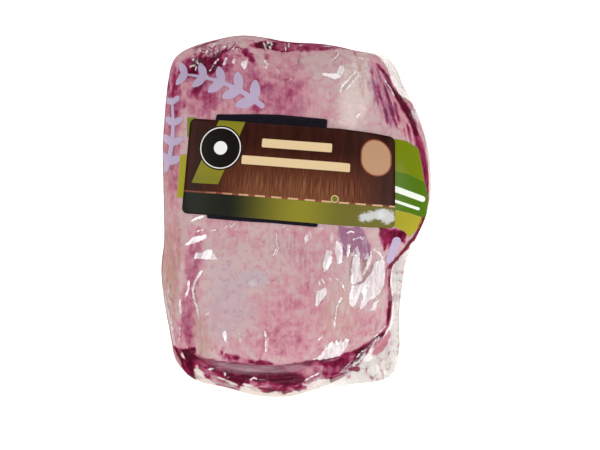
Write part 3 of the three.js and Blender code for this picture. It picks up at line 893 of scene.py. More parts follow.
@dataclass
class LambLeg:
    """The leg itself, inside the bag: muscles under pale membrane, fat, and the dark flesh of the sawn end."""

    skin: BagSkin
    finish: RawLamb = RawLamb()
    under_film: float = 0.35  # gap from the film where it is shrunk on
    least_gap: float = 0.1
    sunk: float = 1.6  # how far the sawn face lies in from its edge
    base_lean: float = 0.14
    flank_lean: float = 0.08  # added low on the flanks
    cut_lean: float = 0.58  # added on the sawn end
    lean: tuple = (
        Patch((-66, 107), (20, 8), 0.3, 8, 0.8),
        Area((-82.5, 110.5, -75.5, 114, -65.5, 114, -55, 114, -53.5, 107.5, -58.5, 99, -68.5, 97.5, -77, 97.5,
            -82.5, 100.5), 0.34, 4.0),
        Patch((-76, 94), (13, 8), 0.24, 0, 0.9), Area((-74, 111, -65, 112, -64.5, 104, -71.5, 102), 0.3, 2.0),
        Area((-42.5, 120, -38, 120.5, -34, 119, -30.5, 115, -28.5, 110.5, -30, 108, -34, 110.5, -35, 113, -37, 116,
            -40.5, 118.5), 0.46, 1.2),
        Area((-29.5, 124, -25.5, 124.5, -14.5, 124, -14.5, 118, -24.5, 119, -27, 119.5, -28.5, 122), 0.34, 1.2),
        Area((-23.5, 115.5, -19, 115, -19, 111, -22.5, 111), 0.4, 1.2), Patch((0, 122), (34, 4.5), 0.46, 0, 0.3),
        Patch((-44, 92), (20, 26), 0.24, 0, 0.9), Patch((-67, 80), (11, 12), 0.34, 0, 0.8),
        Patch((-84, 84), (7, 12), 0.2, 0, 0.8), Patch((-12, 88), (22, 30), 0.2, 0, 0.9),
        Patch((-88, 70), (7, 50), 0.3, 0, 0.9), Patch((-2, -78), (26, 26), 0.14, 0, 0.9),
        Patch((-22, -90), (30, 9), 0.16, 0, 0.9), Patch((-6, 86), (13, 18), 0.12, 0, 0.9),
        Patch((-4, -60), (26, 28), 0.06, 0, 1.0), Patch((16, -30), (18, 22), 0.08, 0, 1.0),
        Patch((72, 84), (12, 26), 0.2, 30, 0.8), Patch((-88, 10), (6, 60), 0.12, 0, 1.0),
        # the next outline is dark flesh at the sawn end, painted near black as the shade of a hollow there
        Area((-81, -93, -71.5, -92, -71.5, -100.5, -75.5, -103, -80, -101, -82.5, -97.5), 0.9, 0.8),
        Area((-70.5, -101, -56, -109, -43.5, -113.5, -31, -114.5, -19.5, -112.5, -8, -110.5, 4.5, -113, 4.5, -119.5,
            -8, -122.5, -19.5, -120.5, -31, -118, -40, -118, -49, -116, -58, -111, -64.5, -105.5), 0.24),
        Area((-48.5, -107, -40, -109.5, -24.5, -110.5, -8, -109, 2.5, -112.5, 2.5, -118, -8, -119.5, -24.5, -115.5,
            -40, -114), 0.24, 1.6),
        Area((-33, -116.5, -24.5, -116, -14.5, -117.5, -3, -120.5, -3, -123, -14.5, -122, -24.5, -121, -33, -119),
            -0.26, 1.2),
        Area((-9, -105.5, 2.5, -105.5, 15.5, -104, 18, -109.5, 15.5, -114.5, 2.5, -113, -8, -112), -0.28, 1.6),
        Area((-55, -92.5, -51.5, -92.5, -48, -95.5, -43, -97, -40, -100, -47, -100.5, -53.5, -97.5), 0.13, 0.8),
        Patch((-79, -80), (6, 18), 0.16, 0, 0.8), Patch((-71, -32), (8, 20), 0.14, 0, 0.9),
        Patch((47, -73), (13, 10), 0.14, 0, 0.9), Area((-83.5, -100.5, -74, -104, -73, -115.5, -78.5, -108.5), 0.3),
        Area((43, -96, 48, -94, 49.5, -96, 46.5, -102, 42, -104, 40, -109, 38, -107.5), 0.45, 0.8),
        Area((-54.5, -92.5, -51.5, -91.5, -49.5, -95, -46, -96, -42, -97, -39.5, -99.5, -34.5, -101, -24.5, -101,
            -19, -100.5, -14.5, -103, -27.5, -104.5, -40, -104, -47, -102.5, -52, -100, -55, -97), 0.42, 1.0),
        Area((-8, -103.5, 4, -102.5, 15.5, -100.5, 25, -100, 29.5, -100, 20, -103, 6, -104.5, -8, -105.5), 0.3, 0.8),
        Area((58, -6, 66.5, -8, 77.5, -9.5, 77, -18, 72, -16.5, 65, -20, 62, -23, 59.5, -18), 0.74, 1.5),
        Area((64.5, -31.5, 62, -38.5, 63.5, -51.5, 65.5, -50, 65.5, -38.5), 0.34),
        Area((64.5, -60.5, 68.5, -57, 68, -67, 65, -77, 62, -80), 0.36),
    )
    seams: tuple = (
        Seam((-44.5, -98.5, -40, -100, -36, -101, -29.5, -102), 1.4, 0.16),
        Seam((-46.5, -96.5, -40, -99.5, -33, -101, -24.5, -102, -14.5, -103), 1.5, 0.2),
        Seam((51.5, 107.5, 54.5, 97.5, 58.5, 85, 63, 73.5, 66.5, 63.5), 0.7, 0.34),
        Seam((55.5, 107.5, 60, 97.5, 65.5, 85, 69, 75), 0.7, 0.3), Seam((-70.5, 120.5, -72, 114), 0.9, 0.45),
        Seam((-66.5, 122, -67, 114), 0.9, 0.5), Seam((-63.5, 122, -65, 114.5), 0.9, 0.55),
        Seam((-60.5, 121, -61.5, 114.5), 1.0, 0.65), Seam((-58, 121, -59, 115.5), 0.9, 0.65),
        Seam((-53.5, 122.5, -55, 116), 0.9, 0.45), Seam((-48, 123, -50, 117.5), 1.0, 0.55),
        Seam((-43, 124, -45, 119), 1.0, 0.45), Seam((-73.5, 120, -66.5, 122, -60, 124.5, -55.5, 125.5), 0.8, 0.7),
        Seam((-57, 114.5, -53, 116.5, -47, 118, -42, 120), 1.1, 0.45),
        Seam((-68, -8, -72.5, -30, -75, -52, -76, -73, -74, -93), 5.2, 0.22),
        Seam((-43, -40, -36, -36.5, -27.5, -34.5, -21.5, -37.5, -17.5, -45), 0.6, 0.22),
        *alike(Seam, (
            (56.5, 109.5, 59.5, 106, 63, 102), (61.5, 103.5, 65, 99, 66.5, 93, 71, 88),
        ), 1.5, 0.5),
        Seam((68.5, 90.5, 74.5, 82.5, 78, 77, 81, 70.5, 83, 66, 85.5, 58.5), 2.6, 0.68),
        Seam((83.5, 65, 85.5, 58.5, 87.5, 52, 89, 43.5, 91, 33.5, 92, 22.5, 92, 9), 3.2, 0.66),
        Seam((50, 98, 51, 88.5), 0.9, 0.5), Seam((53, 98.5, 54.5, 93, 55.5, 87, 58, 79), 1.1, 0.44),
        Seam((57.5, 94, 59, 87, 61, 82), 1.0, 0.44), Seam((62, 93, 66, 80, 68.5, 70, 72, 62), 1.2, 0.44),
        Seam((62.5, 76.5, 64, 65.5), 1.1, 0.45), Seam((69.5, 81.5, 72.5, 66.5), 1.0, 0.44),
        Seam((78.5, 66.5, 80.5, 55.5, 81.5, 50), 1.1, 0.38), Seam((75.5, 63.5, 77.5, 53.5), 0.8, 0.3),
        Seam((52, 112, 53, 98.5), 2.2, 0.25), Seam((90, -8, 82, -20, 70, -34, 66, -48), 2.4, 0.7),
        Seam((67, -44, 66.5, -60, 65, -76), 1.6, 0.42), Seam((41, 118, 43, 110.5, 44.5, 102), 1.2, 0.42),
        Seam((-89, -60, -85, -90), 1.2, 0.14),
    )
    fat: tuple = (
        Seam((-57, -114, -50, -117, -42, -119.5), 0.8, 0.6),
        Area((-64.5, -109, -57, -112, -49.5, -116, -41.5, -119.5, -38, -124.5, -48.5, -123, -60, -119.5), 0.44, 2.2),
        Patch((-60, 121), (24, 5.0), 0.26, 8, 0.8), Patch((42, 88), (13, 34), 0.5, -8, 0.8),
        Patch((30, -62), (14, 22), 0.3, 0, 0.9), Seam((88.5, 70.5, 92.5, 58, 95, 41, 95.5, 23, 95, 9), 1.3, 0.9),
        Patch((-90, -40), (8, 46), 0.2, 0, 0.8), Patch((10, -18), (14, 16), 0.18, 0, 1.0),
        Patch((8, 77), (16, 12), 0.3, 0, 1.0),
        Area((-72.5, -105.5, -70.5, -106, -69, -109, -65.5, -112.5, -62, -115.5, -58.5, -117.5, -55, -121,
            -60.5, -120, -66.5, -118, -70.5, -116, -72, -112), 0.95, 1.4),
        Seam((-55, -114.5, -48.5, -117, -42, -119.5), 0.8, 0.8),
        Area((-40, -120, -36, -119.5, -31.5, -120.5, -27.5, -122, -24, -123.5, -19, -124, -13, -125, -6, -125.5,
            -0.5, -124.5, 5.5, -123, 9, -122, 14, -121, 12.5, -129, -8, -130.5, -24.5, -130.5, -40, -126), 1.0, 1.4),
        Seam((-27.5, -115.5, -23, -115.5, -18, -117.5), 0.6, 0.36),
        Area((9, -119, 15.5, -116, 24, -115.5, 25, -124.5, 2.5, -129), 1.0, 0.8),
        Area((16.5, -105.5, 19.5, -105.5, 20, -115.5, 16, -116), 0.4, 1.4),
        Seam((19, -103.5, 24, -103, 29, -102), 1.1, 0.34), Patch((-48, -84), (14, 6), 0.25),
        Patch((-31, -46), (3.5, 2.6), 0.7),
    )
    silver: tuple = (
        Patch((-46, -58), (20, 30), 0.55, 0, 1.0), Patch((-30, -28), (22, 14), 0.2, 0, 1.0),
        Patch((16, 104), (22, 14), 0.2, 0, 1.0), Patch((44, -64), (12, 14), 0.3, 0, 1.0),
        # the next two marks are silverskin painted pale and bluish where a highlight lies on the dome
        Area((-41, -41, -36, -37.5, -27.5, -35, -21.5, -38, -18, -45, -23, -47, -30, -49.5, -36.5, -48), 0.75, 2.0),
        Patch((-36, -45), (12, 9), 0.35, -30, 1.0),
    )
    stain: tuple = (
        Area((29.5, -6, 43.5, -6, 51, -16, 53, -27.5, 46.5, -33, 39.5, -24.5, 32.5, -27.5, 29.5, -19), 0.8, 2.0),
        Patch((-1, -22), (13, 12), 0.3, 0, 1.0), Patch((50, -76), (14, 10), 0.24, 0, 1.0),
        Patch((2.5, 110), (2.5, 3.5), 0.5), Patch((7, 80), (4, 9), 0.3), Patch((-18, 84), (8, 16), 0.3, 0, 0.9),
        Patch((60, 88), (8, 26), 0.46, 20, 0.8), Patch((-52, 92), (16, 18), 0.3, 0, 0.8),
    )
    rind: tuple = (
        Patch((-91, -48), (8, 42), 0.75, -6, 0.8), Patch((30, -68), (13, 20), 0.4, 0, 1.0),
        Seam((44, 118, 45.5, 100, 46.5, 84), 1.8, 0.5), Patch((-66, -82), (6, 20), 0.5, 10, 0.8),
        Patch((-90, 34), (5, 30), 0.3, 0, 0.8),
    )

    def past_cut(self, surface: Surface) -> np.ndarray:
        """How far each vertex lies past the edge of the sawn end, or a large distance below 0 elsewhere."""
        return np.where(surface.y < 0, surface.past_cut(), -NOWHERE)

    def tissue(self, surface: Surface) -> np.ndarray:
        """Works out lean, fat, stain and silver for every vertex, as the four parts of a colour."""
        ragged = drift(surface.place, 9.0, 1.0) + 0.9 * drift(surface.place, 3.0, 13.0)
        past = self.past_cut(surface)
        shown = surface.off_the_base()
        lean = self.base_lean + 0.1 * drift(surface.place, 34.0, 2.0)
        for mark in (*self.lean, *self.seams):
            lean = lean + mark.amount * mark.share(surface, ragged) * shown
        past = past - 3.5 * ease(surface.x, 20, 36) * ease(surface.x, 58, 48)
        flesh = ease(past + 1.5 * ragged, -0.5, 1.5) * shown
        lobes = 0.26 * drift(surface.place, 7.0, 3.0) + 0.2 * drift(surface.place, 2.6, 11.0)
        lean = lean + (self.cut_lean + lobes) * flesh
        lean = lean + self.flank_lean * ease(surface.z, 26.0, 12.0)
        fat = most(self.fat, surface, ragged)
        strands = drift(np.stack([surface.x / 4, past, past * 0], axis=1), 1.8, 15.0)
        fat = fat * (1 - 0.4 * flesh * ease(strands, 0.0, 0.5)) * shown
        stain = most(self.stain, surface, ragged) * shown
        silver = most(self.silver, surface, ragged) * (1 - flesh) * (0.4 + 0.6 * shown)
        return np.clip(np.stack([lean, fat, stain, silver], axis=1), 0.0, 1.0)

    def build(self) -> bpy.types.Object:
        """Makes the leg, coloured and set just inside the film."""
        surface = Surface(self.skin.smooth_mesh("lamb_leg", drawn_in=True))
        surface.store("tissue", self.tissue(surface))
        surface.store("rind", most(self.rind, surface, drift(surface.place, 9.0, 12.0)))
        past = self.past_cut(surface)
        sunk = self.sunk * ease(past, 0.0, 4.0) * ease(past, 16.0, 9.0)
        grain = 0.18 * drift(surface.place, 3.2, 4.0) + 0.25 * drift(surface.place, 8.0, 5.0)
        surface.push(-self.under_film - sunk + np.minimum(grain, self.under_film - self.least_gap))
        surface.mesh.materials.append(self.finish.material())
        return in_scene("lamb_leg", surface.mesh)


# ---------------------------------------------------------------- the film
class Profile(Enum):
    """How a fold of film looks in section."""

    ROUND = "round"
    TENT = "tent"


@dataclass(frozen=True)
class Fold:
    """A raised fold along a line."""

    line: Line
    height: float
    half_width: float
    profile: Profile = Profile.TENT

    def rise(self, x: np.ndarray, y: np.ndarray) -> np.ndarray:
        """How far the fold lifts the film at each place."""
        points = corners(self.line)
        low, high = points.min(axis=0), points.max(axis=0)
        rim = 2.5 * self.half_width
        near = (x > low[0] - rim) & (x < high[0] + rim) & (y > low[1] - rim) & (y < high[1] + rim)
        away, along = along_line(x[near], y[near], self.line)
        taper = np.clip(4 * np.minimum(along, 1 - along), 0.0, 1.0)
        reach = away / (self.half_width * (0.35 + 0.65 * taper))
        section = np.clip(1 - reach, 0.0, 1.0) if self.profile is Profile.TENT else np.exp(-reach * reach)
        lifted = np.zeros(x.shape)
        lifted[near] = self.height * taper * section
        return lifted


@dataclass(frozen=True)
class Crumple:
    """A crowd of short folds in one place."""

    at: Point
    reach: Point
    count: int
    length: float
    height: float
    half_width: float
    heading: float  # degrees from +X that the folds run
    spread: float  # degrees either side of it
    seed: int

    def folds(self) -> list[Fold]:
        """Draws the folds from a seeded source."""
        draw = random.Random(self.seed)
        made = []
        for _ in range(self.count):
            around, out = draw.uniform(0, 2 * math.pi), math.sqrt(draw.random())
            x = self.at[0] + self.reach[0] * out * math.cos(around)
            y = self.at[1] + self.reach[1] * out * math.sin(around)
            angle = math.radians(self.heading + draw.uniform(-self.spread, self.spread))
            half = self.length * draw.uniform(0.35, 0.65)
            dx, dy = half * math.cos(angle), half * math.sin(angle)
            bow = draw.uniform(-0.25, 0.25)
            line = curved((x - dx, y - dy), (x - bow * dy * 2, y + bow * dx * 2), (x + dx, y + dy), 3)
            made.append(Fold(line, self.height * draw.uniform(0.5, 1.0), self.half_width * draw.uniform(0.6, 1.2)))
        return made


@dataclass(frozen=True)
class Pleats:
    """Long folds side by side, running from one line to another."""

    start: tuple[Point, Point]
    end: tuple[Point, Point]
    count: int
    height: float
    half_width: float
    seed: int

    def folds(self) -> list[Fold]:
        """Spaces the folds along both lines, a little unevenly."""
        draw = random.Random(self.seed)
        made = []
        for i in range(self.count):
            share = (i + draw.uniform(0.2, 0.8)) / self.count
            first, last = self._on(self.start, share), self._on(self.end, share + draw.uniform(-0.08, 0.08))
            middle = ((first[0] + last[0]) / 2 + draw.uniform(-2, 2), (first[1] + last[1]) / 2)
            width = self.half_width * draw.uniform(0.6, 1.3)
            made.append(Fold(curved(first, middle, last, 4), self.height * draw.uniform(0.5, 1.1), width))
        return made

    def _on(self, ends: tuple[Point, Point], share: float) -> Point:
        """The place a share of the way from one point to the other."""
        share = min(max(share, 0.0), 1.0)
        return tuple(a + (b - a) * share for a, b in zip(*ends))


@dataclass(frozen=True)
class Outline:
    """A closed outline on the film, seen from above."""

    line: Line

    def away(self, x: np.ndarray, y: np.ndarray) -> np.ndarray:
        """The signed distance of each place to the outline, below 0 inside it."""
        return inside_outline(x, y, self.line)


class Brush(Enum):
    """The outline of a printed stroke."""

    BAND = "band"
    LEAF = "leaf"


@dataclass(frozen=True)
class Stroke:
    """A printed band along a line, from its foot's width to its tip's, or a leaf of its foot's width."""

    line: Line
    foot: float
    tip: float = 0.0
    brush: Brush = Brush.BAND

    def away(self, x: np.ndarray, y: np.ndarray) -> np.ndarray:
        """The signed distance of each place to the stroke's edge, below 0 on the stroke."""
        distance, along = along_line(x, y, self.line)
        if self.brush is Brush.LEAF:
            return distance - self.foot / 2 * np.sin(math.pi * along) ** 0.7
        return distance - (self.foot + (self.tip - self.foot) * along) / 2


def sprig(stem: Line, pairs: int, length: float, width: float, spread: float) -> tuple[Stroke, ...]:
    """A printed sprig of plain leaves.

    Args:
        stem: The stem's points, from its foot.
        pairs: How many pairs of leaves it has.
        length: A leaf's length near the foot; those near the tip are shorter.
        width: A leaf's width there.
        spread: The angle between a leaf and the stem, in degrees.

    Returns:
        The stem and leaves as strokes.
    """
    made = [Stroke(stem, foot=4.0, tip=1.6)]
    points = corners(stem)
    for pair in range(pairs):
        share = 0.08 + 0.84 * pair / max(pairs - 1, 1)
        index = share * (len(points) - 1)
        whole = int(index)
        here, ahead = points[whole], points[min(whole + 1, len(points) - 1)]
        root = here + (index % 1) * (ahead - here)
        run = ahead - points[max(whole - 1, 0)]
        heading = math.atan2(run[1], run[0])
        size = 1 - 0.35 * share
        for side in (-1, 1):
            angle = heading + side * math.radians(spread)
            end = root + size * length * np.array((math.cos(angle), math.sin(angle)))
            bend = (root + end) / 2 + side * 0.12 * length * np.array((math.sin(heading), -math.cos(heading)))
            made.append(Stroke(curved(root, bend, end, 5), size * width, brush=Brush.LEAF))
    return tuple(made)


@dataclass
class FilmBag:
    """The shrunk bag: clear film with free flaps, folds, pleats, flat-coloured print and shapes of painted highlight.
    """

    skin: BagSkin
    finish: ShrinkFilm = ShrinkFilm()
    band_ends: float = 8.0  # height down to which the green print runs on round the flank
    label_margin: float = 6.0  # from a label's edge to where the film folds freely
    flap_milk: float = 0.55
    bridge_milk: float = 0.36
    thick_milk: float = 0.34  # added where the bridging film is thick
    fine_pleat: float = 0.4  # height of the pleats finer than the mesh, and below it of the ripples
    ripple: float = 0.28
    stuck: float = 0.8  # signed distance to film off the meat where nothing lifts it
    lift_share: float = 6.0  # how much of that distance a millimetre's lift takes away
    juice_ragged: float = 1.4
    thick: Patch = Patch((-34, -105.5), (22, 3.2), 0.6, -6)
    smoky: tuple = (Patch((71.5, -57.5), (6, 2.6), 0.5), Patch((71, -33), (6, 6), 0.2))
    folds: tuple = (
        *alike(Fold, (
            (-50, -7.5, -47, -4.5, -45, -6.5, -42, -3),
            (-14.5, -11, -15.5, -16, -12.5, -20, -14.5, -24.5, -16.5, -29), (35, -11, 38.5, -9, 41, -10.5),
            (-13.5, 105.5, -12.5, 100),
        ), 0.6, 1.5),
        Fold((-58.5, -9.5, -53.5, -7.5), 0.5, 1.4),
        *alike(Fold, (
            (-55.5, -13, -53, -11), (-27.5, -78.5, -27, -84), (-4, 97.5, -3, 94),
        ), 0.4, 1.2),
        *alike(Fold, (
            (4, -9.5, 6.5, -7.5, 9, -10.5), (6.5, -48, 9.5, -44.5), (11, -49.5, 12.5, -45, 15.5, -43.5),
            (18, -43.5, 20, -47), (31.5, -47, 33.5, -52), (-63, -70, -61.5, -66.5), (-23, 107.5, -21.5, 103.5),
            (-71.5, -116, -68.5, -119.5), (6, -114.5, 12.5, -112, 17.5, -109),
        ), 0.5, 1.3),
        *alike(Fold, (
            (40, -15.5, 43.5, -13, 46.5, -14, 47, -16.5), (15.5, -85.5, 19, -81.5),
            (29.5, 117.5, 29, 113.5, 24.5, 109),
        ), 0.6, 1.4),
        *alike(Fold, (
            (-22.5, -94, -22.5, -82.5, -21.5, -78.5, -20, -82.5, -21, -94), (61.5, 97, 64.5, 92, 69, 86.5),
            (-63, -107.5, -58.5, -105.5, -60.5, -109), (-21.5, -124, -19, -119.5, -15.5, -122),
            (-71.5, -92, -70.5, -98.5, -71.5, -104),
        ), 0.6, 1.3),
        *alike(Fold, (
            (-51.5, 106, -49, 112), (-45, 107.5, -43.5, 111), (-80, -95.5, -80.5, -100),
        ), 0.7, 1.6),
        *alike(Fold, (
            (-46, -119, -43, -117), (-65, -98.5, -58.5, -100.5, -53, -104),
        ), 0.5, 1.2),
        Fold((31.5, -110.5, 36.5, -105.5, 41.5, -101), 0.4, 1.5), Fold((40, -104, 46.5, -97.5, 53.5, -90), 0.35, 1.7),
        Fold((55.5, -90, 62, -82.5, 68, -74), 0.45, 1.6), Fold((43, 103.5, 36, 95.5, 30, 87.5), 0.8, 2.6),
        Fold((24, 80.5, 30, 80.5), 0.6, 1.7),
        *alike(Fold, (
            (40, 70, 45, 74), (-51.5, -79, -50, -87.5), (-55, 112, -59.5, 103.5, -63, 97.5),
            (-68.5, 109.5, -70.5, 103.5),
        ), 0.7, 1.8),
        Fold((24, -22.5, 21.5, -30, 18, -38), 0.9, 3.4), Fold((31, -16, 31, -24.5, 29, -33.5), 0.8, 3.0),
        Fold((21, -48.5, 17.5, -55.5, 13, -63.5), 0.7, 2.4), Fold((37.5, -17.5, 36, -29), 0.7, 2.0),
        Fold((31.5, -55.5, 28, -62, 26, -77), 0.6, 1.8), Fold((-16, -11.5, -13, -19.5, -16.5, -27.5), 0.5, 1.5),
        *alike(Fold, (
            (-21.5, -77.5, -21, -95.5), (-40, -80.5, -40, -88.5),
        ), 0.6, 1.6),
        *alike(Fold, (
            (-50, -3, -45, -6.5), (-10.5, -11, -5.5, -4),
        ), 0.5, 1.6),
        Fold((42.5, -19, 41, -31.5, 38, -47), 1.3, 3.0), Fold((52, -22.5, 46.5, -41, 39.5, -61.5), 1.5, 3.4),
        Fold((55.5, -30, 51, -44.5, 45, -63), 1.2, 2.6), Fold((61.5, -31.5, 60.5, -47, 55, -64.5), 1.0, 2.2),
        Fold((53.5, -36, 49.5, -58.5), 1.2, 4.0, Profile.ROUND),
    )
    crumples: tuple = (
        Crumple((-58, 118), (20, 5), 12, 7, 0.45, 1.5, 80, 30, 2),
        Crumple((-66, 107), (10, 5), 6, 8, 0.25, 1.5, 65, 30, 4),
        Crumple((-5, 119), (32, 4), 8, 8, 0.5, 1.6, 85, 20, 3),
        Crumple((-40, -112), (40, 7), 6, 7, 0.5, 2.0, 60, 60, 5),
        Crumple((58, -100), (20, 14), 15, 12, 0.45, 1.6, 40, 70, 6),
        Crumple((-90, -62), (5, 18), 9, 6, 0.6, 1.5, 90, 40, 7),
        Crumple((70, 98), (8, 10), 8, 8, 0.4, 1.6, 120, 30, 8),
        Crumple((72, -62), (7, 26), 7, 10, 0.7, 1.6, 60, 50, 11),
    )
    pleats: tuple = (
        Pleats(((18, -89), (38, -82)), ((20, -97), (40, -90)), 5, 0.5, 1.7, 24),
        Pleats(((-80, -92), (-66, -92)), ((-80, -108), (-64, -112)), 3, 0.7, 1.6, 22),
        Pleats(((-70, 112), (-38, 118)), ((-72, 122), (-40, 126)), 9, 0.45, 1.4, 25),
        Pleats(((-28, 115), (-5, 115)), ((-28, 124), (-5, 124)), 5, 0.22, 1.6, 23),
    )
    crumpled: tuple = (
        Patch((-68.5, 107), (10, 5), 0.07), Patch((66, 111), (6, 4), 0.16, -40), Patch((89, 70), (3.4, 9), 0.16, 30),
        Patch((-90, -66), (4, 18), 0.2),
    )
    pleated: tuple = (
        Patch((50, -40), (18, 30), 0.6), Patch((-76, -70), (12, 34), 0.3), Patch((-40, -96), (44, 8), 0.4),
        Patch((-62, 118), (22, 6), 0.6, 12), Patch((0, 121), (30, 3), 0.3),
    )
    # shapes where strong highlights are painted white over milky film, where the film is glossiest too
    milk_and_highlight: tuple = (
        *alike(Outline, (
            (-75, -3.5, -71, 0, -64, 2, -64.5, 0, -70.5, -2),
            (-79, -20, -76, -17, -71.5, -13.5, -62.5, -12, -63, -14.5, -68.5, -17, -75, -19.5), (-72, -29, -70.5, -25,
            -65, -24, -61.5, -22, -59, -23, -54.5, -29.5, -60, -29.5, -65, -29), (17.5, 101.5, 23, 101, 28, 101,
            29.5, 106, 33.5, 107, 34, 103.5, 31.5, 99, 27.5, 96.5, 23, 98, 19, 99),
            (21, -23, 25, -23, 24.5, -31.5, 22, -36, 19, -38, 18, -32.5),
            (27.5, -16, 31, -18, 32.5, -25.5, 31.5, -31.5, 28.5, -33, 27, -24.5),
            (14.5, -51.5, 21, -48.5, 20.5, -54, 16.5, -59, 14, -63, 13, -61), (15.5, -97.5, 21, -91, 25, -85.5,
            26.5, -89.5, 28, -85.5, 29.5, -88, 31, -85, 32, -88, 34.5, -85, 37.5, -85, 36, -90, 31, -97, 27.5, -98.5,
            18, -100, 11.5, -100), (-39.5, 109, -37, 110, -34, 111, -34.5, 106, -36, 103.5, -37, 103.5, -37.5, 105,
            -38.5, 106.5), (5.5, -13, 8.5, -11, 9, -16, 6.5, -18.5, 5.5, -16),
            (-52.5, -80.5, -50, -78.5, -48.5, -82, -49, -87.5, -51.5, -83.5),
            (-45, 111, -43, 111, -43, 108.5, -44.5, 107.5, -45.5, 109),
            (54.5, 117.5, 57, 116.5, 56.5, 115.5, 53.5, 116), (65.5, 112, 68, 107.5, 70, 103.5, 67, 104, 64.5, 109),
            (66, 100.5, 68.5, 101, 73, 95.5, 76.5, 89, 73.5, 89.5, 69, 93.5),
            (36, -18.5, 37.5, -20, 36.5, -26, 35, -28, 35, -22.5), (-22.5, -79, -20.5, -80.5, -21, -84, -22.5, -82.5),
            (-81.5, -95, -79, -97, -79.5, -100, -81.5, -98.5),
            (-63, -107.5, -60.5, -106, -58.5, -106.5, -60.5, -108.5),
            (-51.5, -109, -50, -110.5, -50.5, -113, -51.5, -112),
            (48.5, -99, 52, -96.5, 54.5, -100, 51.5, -102.5, 48, -103.5), (42.5, -19.5, 42, -24.5, 39, -29.5,
            38, -35.5, 37.5, -41.5, 38.5, -47, 42, -46, 45.5, -43.5, 45, -38, 44.5, -32.5, 44, -24.5), (52, -22.5,
            51, -27, 48.5, -31.5, 47, -36, 45.5, -39.5, 44.5, -42, 47.5, -39, 50, -35, 52.5, -31.5, 53, -26.5),
            (55, -31, 60.5, -29, 62, -34.5, 62, -38.5, 61.5, -43.5, 60.5, -48.5, 58, -53, 55, -56.5, 51, -58,
            48, -61.5, 45, -65, 44, -62.5, 46, -57.5, 46.5, -53.5, 45, -52, 43.5, -55.5, 42, -59.5, 39.5, -62.5,
            37, -61, 37, -54.5, 38.5, -48, 43, -47, 46.5, -45.5, 49.5, -42, 52.5, -37.5),
            (58.5, -56.5, 56.5, -60.5, 55, -65.5, 52, -65, 53.5, -60),
        )),
        *alike(Stroke, (
            (-66.5, -38, -69, -41.5, -71.5, -46.5, -72.5, -51.5, -71.5, -57, -69.5, -63.5, -68.5, -70),
            (-22.5, 110, -20.5, 107.5, -21, 104.5),
        ), 1.8, 1.0),
        *alike(Stroke, (
            (-75.5, -44.5, -75.5, -50, -77.5, -55), (-82, -58.5, -81.5, -67),
        ), 1.6, 1.6),
        Stroke((42, 102, 37, 97.5, 32, 91.5, 30.5, 87.5), 1.4, 1.4), Stroke((44, 100, 39.5, 95, 35, 89.5), 1.2, 1.2),
        Stroke((-55, 111, -59.5, 104.5, -62.5, 98.5), 1.0, 0.8),
        *alike(Stroke, (
            (-69, 109.5, -71, 103.5), (62, 97, 65.5, 92, 69, 86), (35.5, -11, 38, -9.5, 40, -10.5),
            (40, -15.5, 43.5, -14, 46.5, -15), (16, -8, 18, -7.5), (-21.5, -85, -21.5, -93.5),
            (-33, -115.5, -30.5, -113.5, -28, -114.5), (6, -116, 11.5, -112.5, 17.5, -109.5),
            (43, -99, 46.5, -95, 49.5, -93.5), (51, -95.5, 54.5, -90.5, 56.5, -85.5),
        ), 0.9, 0.7),
        Stroke((-49.5, 111.5, -51, 107), 1.6, 0.8),
        *alike(Stroke, (
            (-74.5, 106, -72, 107), (-68, 117, -67, 119), (-51.5, 119, -49.5, 120.5), (-54, 122, -53, 123),
            (-20, 124, -18.5, 119),
        ), 1.2, 0.8),
        Stroke((-73.5, 111, -72, 111.5), 0.9, 0.9), Stroke((-41, 125.5, -41.5, 122.5, -45.5, 117.5), 0.8, 0.8),
        Stroke((-60, 119.5, -59.5, 120.5, -57, 122), 1.4, 1.0),
        *alike(Stroke, (
            (-63.5, 116, -62.5, 118), (-56.5, 115.5, -55, 117),
        ), 1.2, 1.0),
        *alike(Stroke, (
            (-23, 123, -21, 117.5), (-17.5, 124, -17, 120.5),
        ), 1.1, 0.8),
        *alike(Stroke, (
            (-8, 123, -7.5, 117.5), (-46, -7, -43, -4.5), (-69, -9.5, -64.5, -8.5), (-40, -80.5, -41, -85.5),
            (-48, -87.5, -48.5, -92), (53.5, -85.5, 58, -81.5, 63, -76.5),
        ), 0.8, 0.6),
        *alike(Stroke, (
            (-5.5, 123, -5.5, 119), (2, 121, 4.5, 122.5), (19.5, 121, 24, 121.5), (24.5, 119.5, 29, 118),
            (-59.5, -9.5, -55.5, -8.5), (-91, -71.5, -88.5, -80), (-88.5, -74, -87.5, -80.5),
            (-85.5, -81.5, -86.5, -90.5), (-82, -76.5, -82.5, -87),
        ), 0.7, 0.6),
        *alike(Stroke, (
            (29.5, 116.5, 29, 113.5, 24.5, 109.5), (82.5, 78.5, 85.5, 75.5), (84, 74, 87.5, 70.5),
            (-14.5, -11, -14, -15.5), (-6.5, -6, -5.5, -9.5), (-10.5, -5, -9, -6.5), (18, -43.5, 20, -47),
            (15.5, -45, 16.5, -47), (23, -42, 24.5, -44.5), (26.5, -41.5, 29, -43.5), (-50.5, -94, -51, -97),
            (-95, -56.5, -93.5, -63),
        ), 0.8, 0.7),
        *alike(Stroke, (
            (86.5, 68.5, 89, 66.5), (-92, -61.5, -90, -69),
        ), 0.7, 0.7),
        *alike(Stroke, (
            (-50, -7.5, -47, -5, -45, -6), (31, -45, 33, -49.5), (15.5, -86, 18, -82),
        ), 0.9, 0.6),
        Stroke((-14, -12.5, -14.5, -16.5, -13, -20, -16.5, -27.5), 1.0, 0.6),
        Stroke((39.5, -105.5, 44.5, -102, 48.5, -98), 1.0, 0.7),
        Stroke((54.5, -22.5, 58.5, -25.5, 60.5, -28.5, 61.5, -32.5), 1.5, 1.5),
        Stroke((31.5, -56, 28, -62, 26.5, -76.5), 1.3, 0.8),
    )
